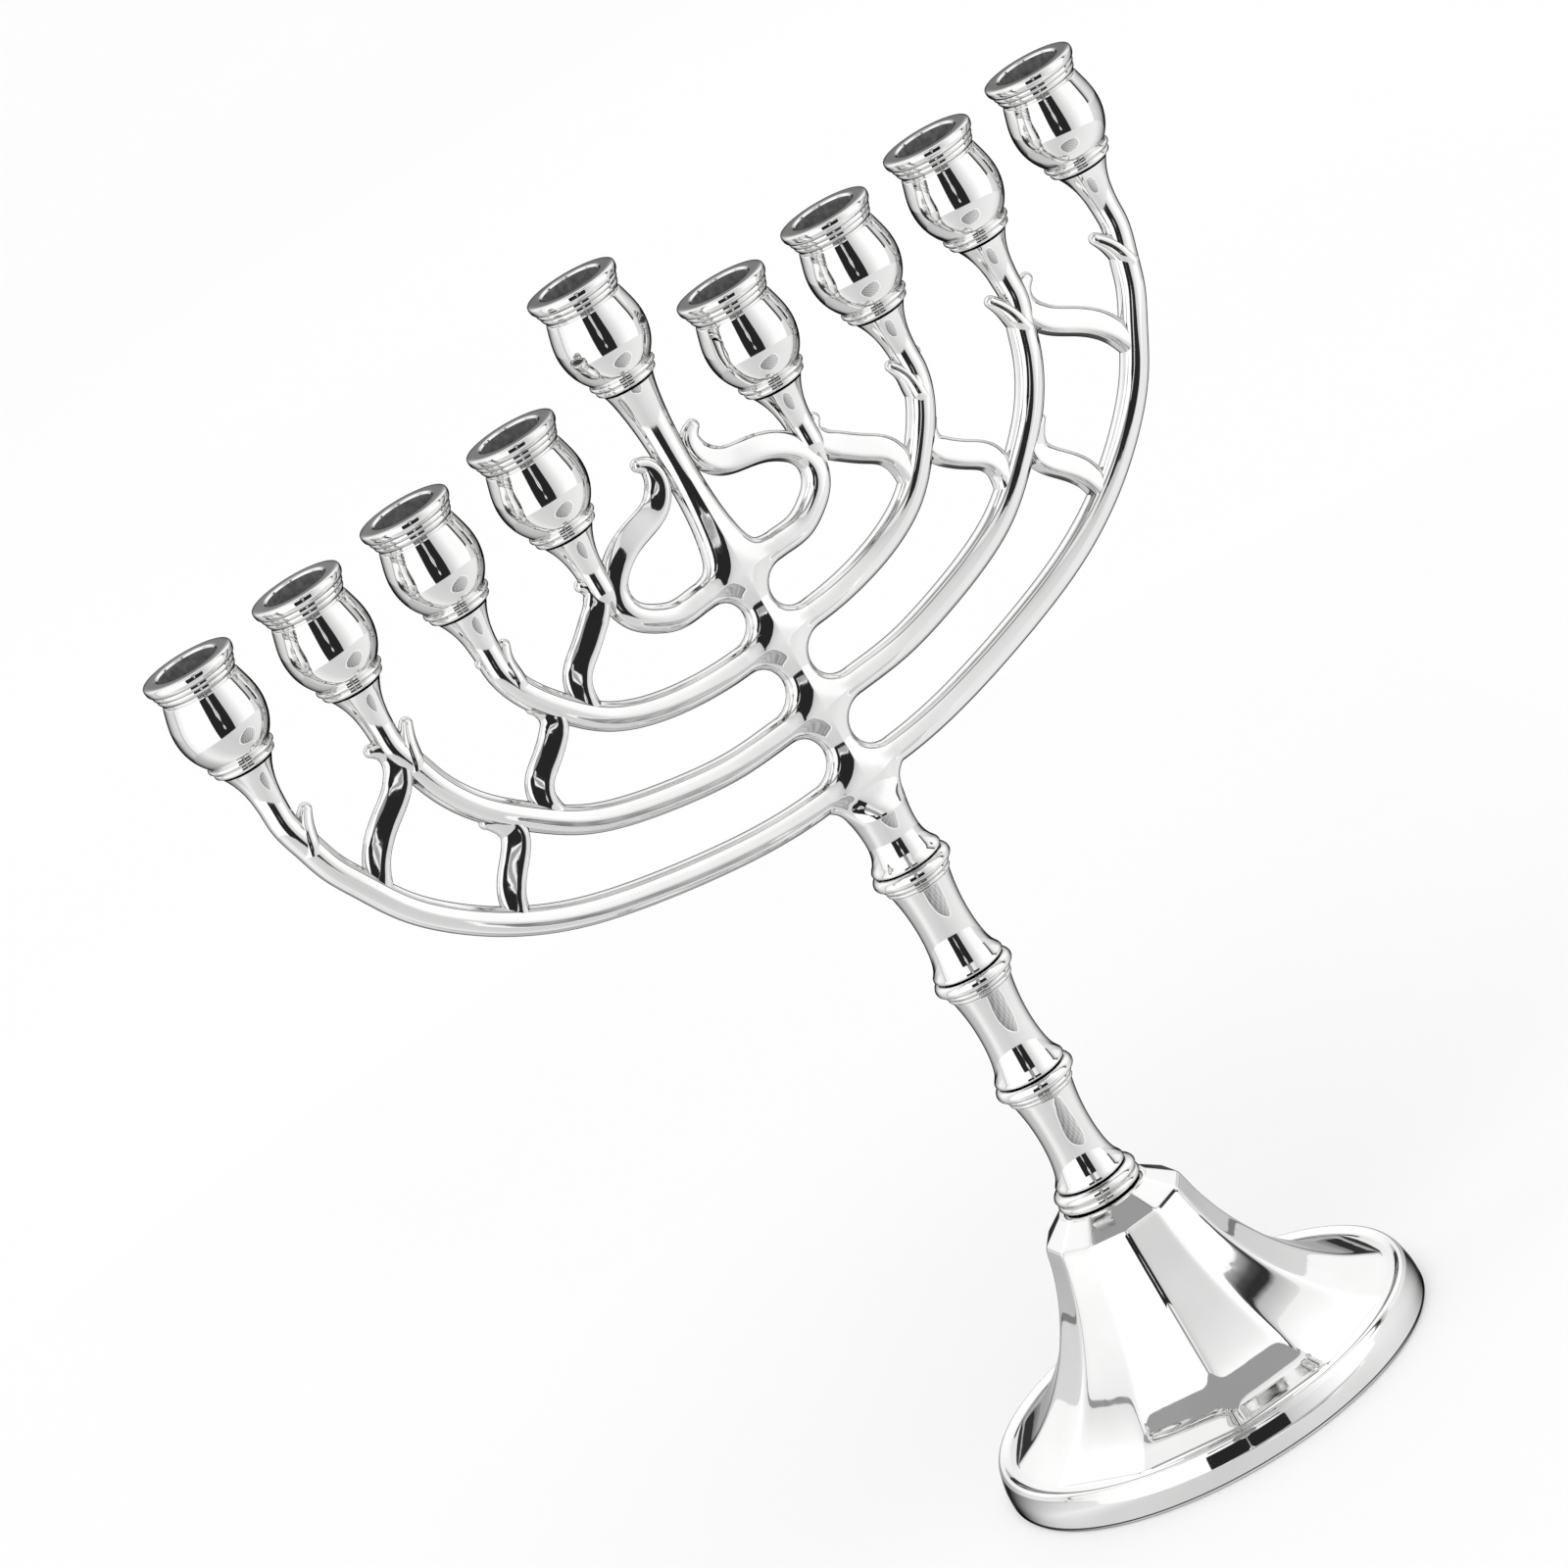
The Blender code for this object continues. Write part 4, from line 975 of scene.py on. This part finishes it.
bpy.context.scene.collection.objects.link(floor)
floor.visible_glossy = False
print("the floor is", floor_mesh.name)

# %% Sky and sun
SKY, SUN = 0.75, 1.3
world = bpy.data.worlds.new("soft_sky")
bpy.context.scene.world = world
world.use_nodes = True
world.node_tree.nodes["Background"].inputs["Color"].default_value = (1.0, 1.0, 1.0, 1.0)
world.node_tree.nodes["Background"].inputs["Strength"].default_value = SKY
sun = bpy.data.lights.new("soft_sun", "SUN")
sun.energy = SUN
sun.angle = math.radians(60.0)
lamp = bpy.data.objects.new("soft_sun", sun)
lamp.rotation_euler = (math.radians(18.0), math.radians(-12.0), 0.0)
lamp.visible_glossy = False
bpy.context.scene.collection.objects.link(lamp)
bpy.context.scene.view_settings.view_transform = "Standard"
print("sun", SUN, "sky", SKY)

# %% [markdown]
# ## Camera
#
# The lens is long and stands well back, a little above the cups and to the left. The camera is
# rolled, so the candle holder leans across the frame.

# %% Camera
AZIMUTH, ELEVATION, ROLL = (math.radians(a) for a in (-19.691, 16.796, -30.475))
STAND_OFF = 1.651
SLIDE_RIGHT, SLIDE_UP = 0.0217, -0.0121
AIM = np.array([0.0, 0.0, 0.125])
toward = np.array([math.sin(AZIMUTH) * math.cos(ELEVATION), -math.cos(AZIMUTH) * math.cos(ELEVATION),
                   math.sin(ELEVATION)])
level_right = np.array([math.cos(AZIMUTH), math.sin(AZIMUTH), 0.0])
level_up = np.cross(toward, level_right)
right = math.cos(ROLL) * level_right + math.sin(ROLL) * level_up
upward = -math.sin(ROLL) * level_right + math.cos(ROLL) * level_up
spot = AIM + STAND_OFF * toward - SLIDE_RIGHT * right - SLIDE_UP * upward

lens = bpy.data.cameras.new("long_lens")
lens.lens = 204.2
lens.sensor_width = 36.0
lens.clip_end = 50.0
camera = bpy.data.objects.new("camera", lens)
camera.matrix_world = Matrix(((right[0], upward[0], toward[0], spot[0]),
                              (right[1], upward[1], toward[1], spot[1]),
                              (right[2], upward[2], toward[2], spot[2]),
                              (0.0, 0.0, 0.0, 1.0)))
bpy.context.scene.collection.objects.link(camera)
bpy.context.scene.camera = camera
print("camera at", [round(float(c), 3) for c in spot])
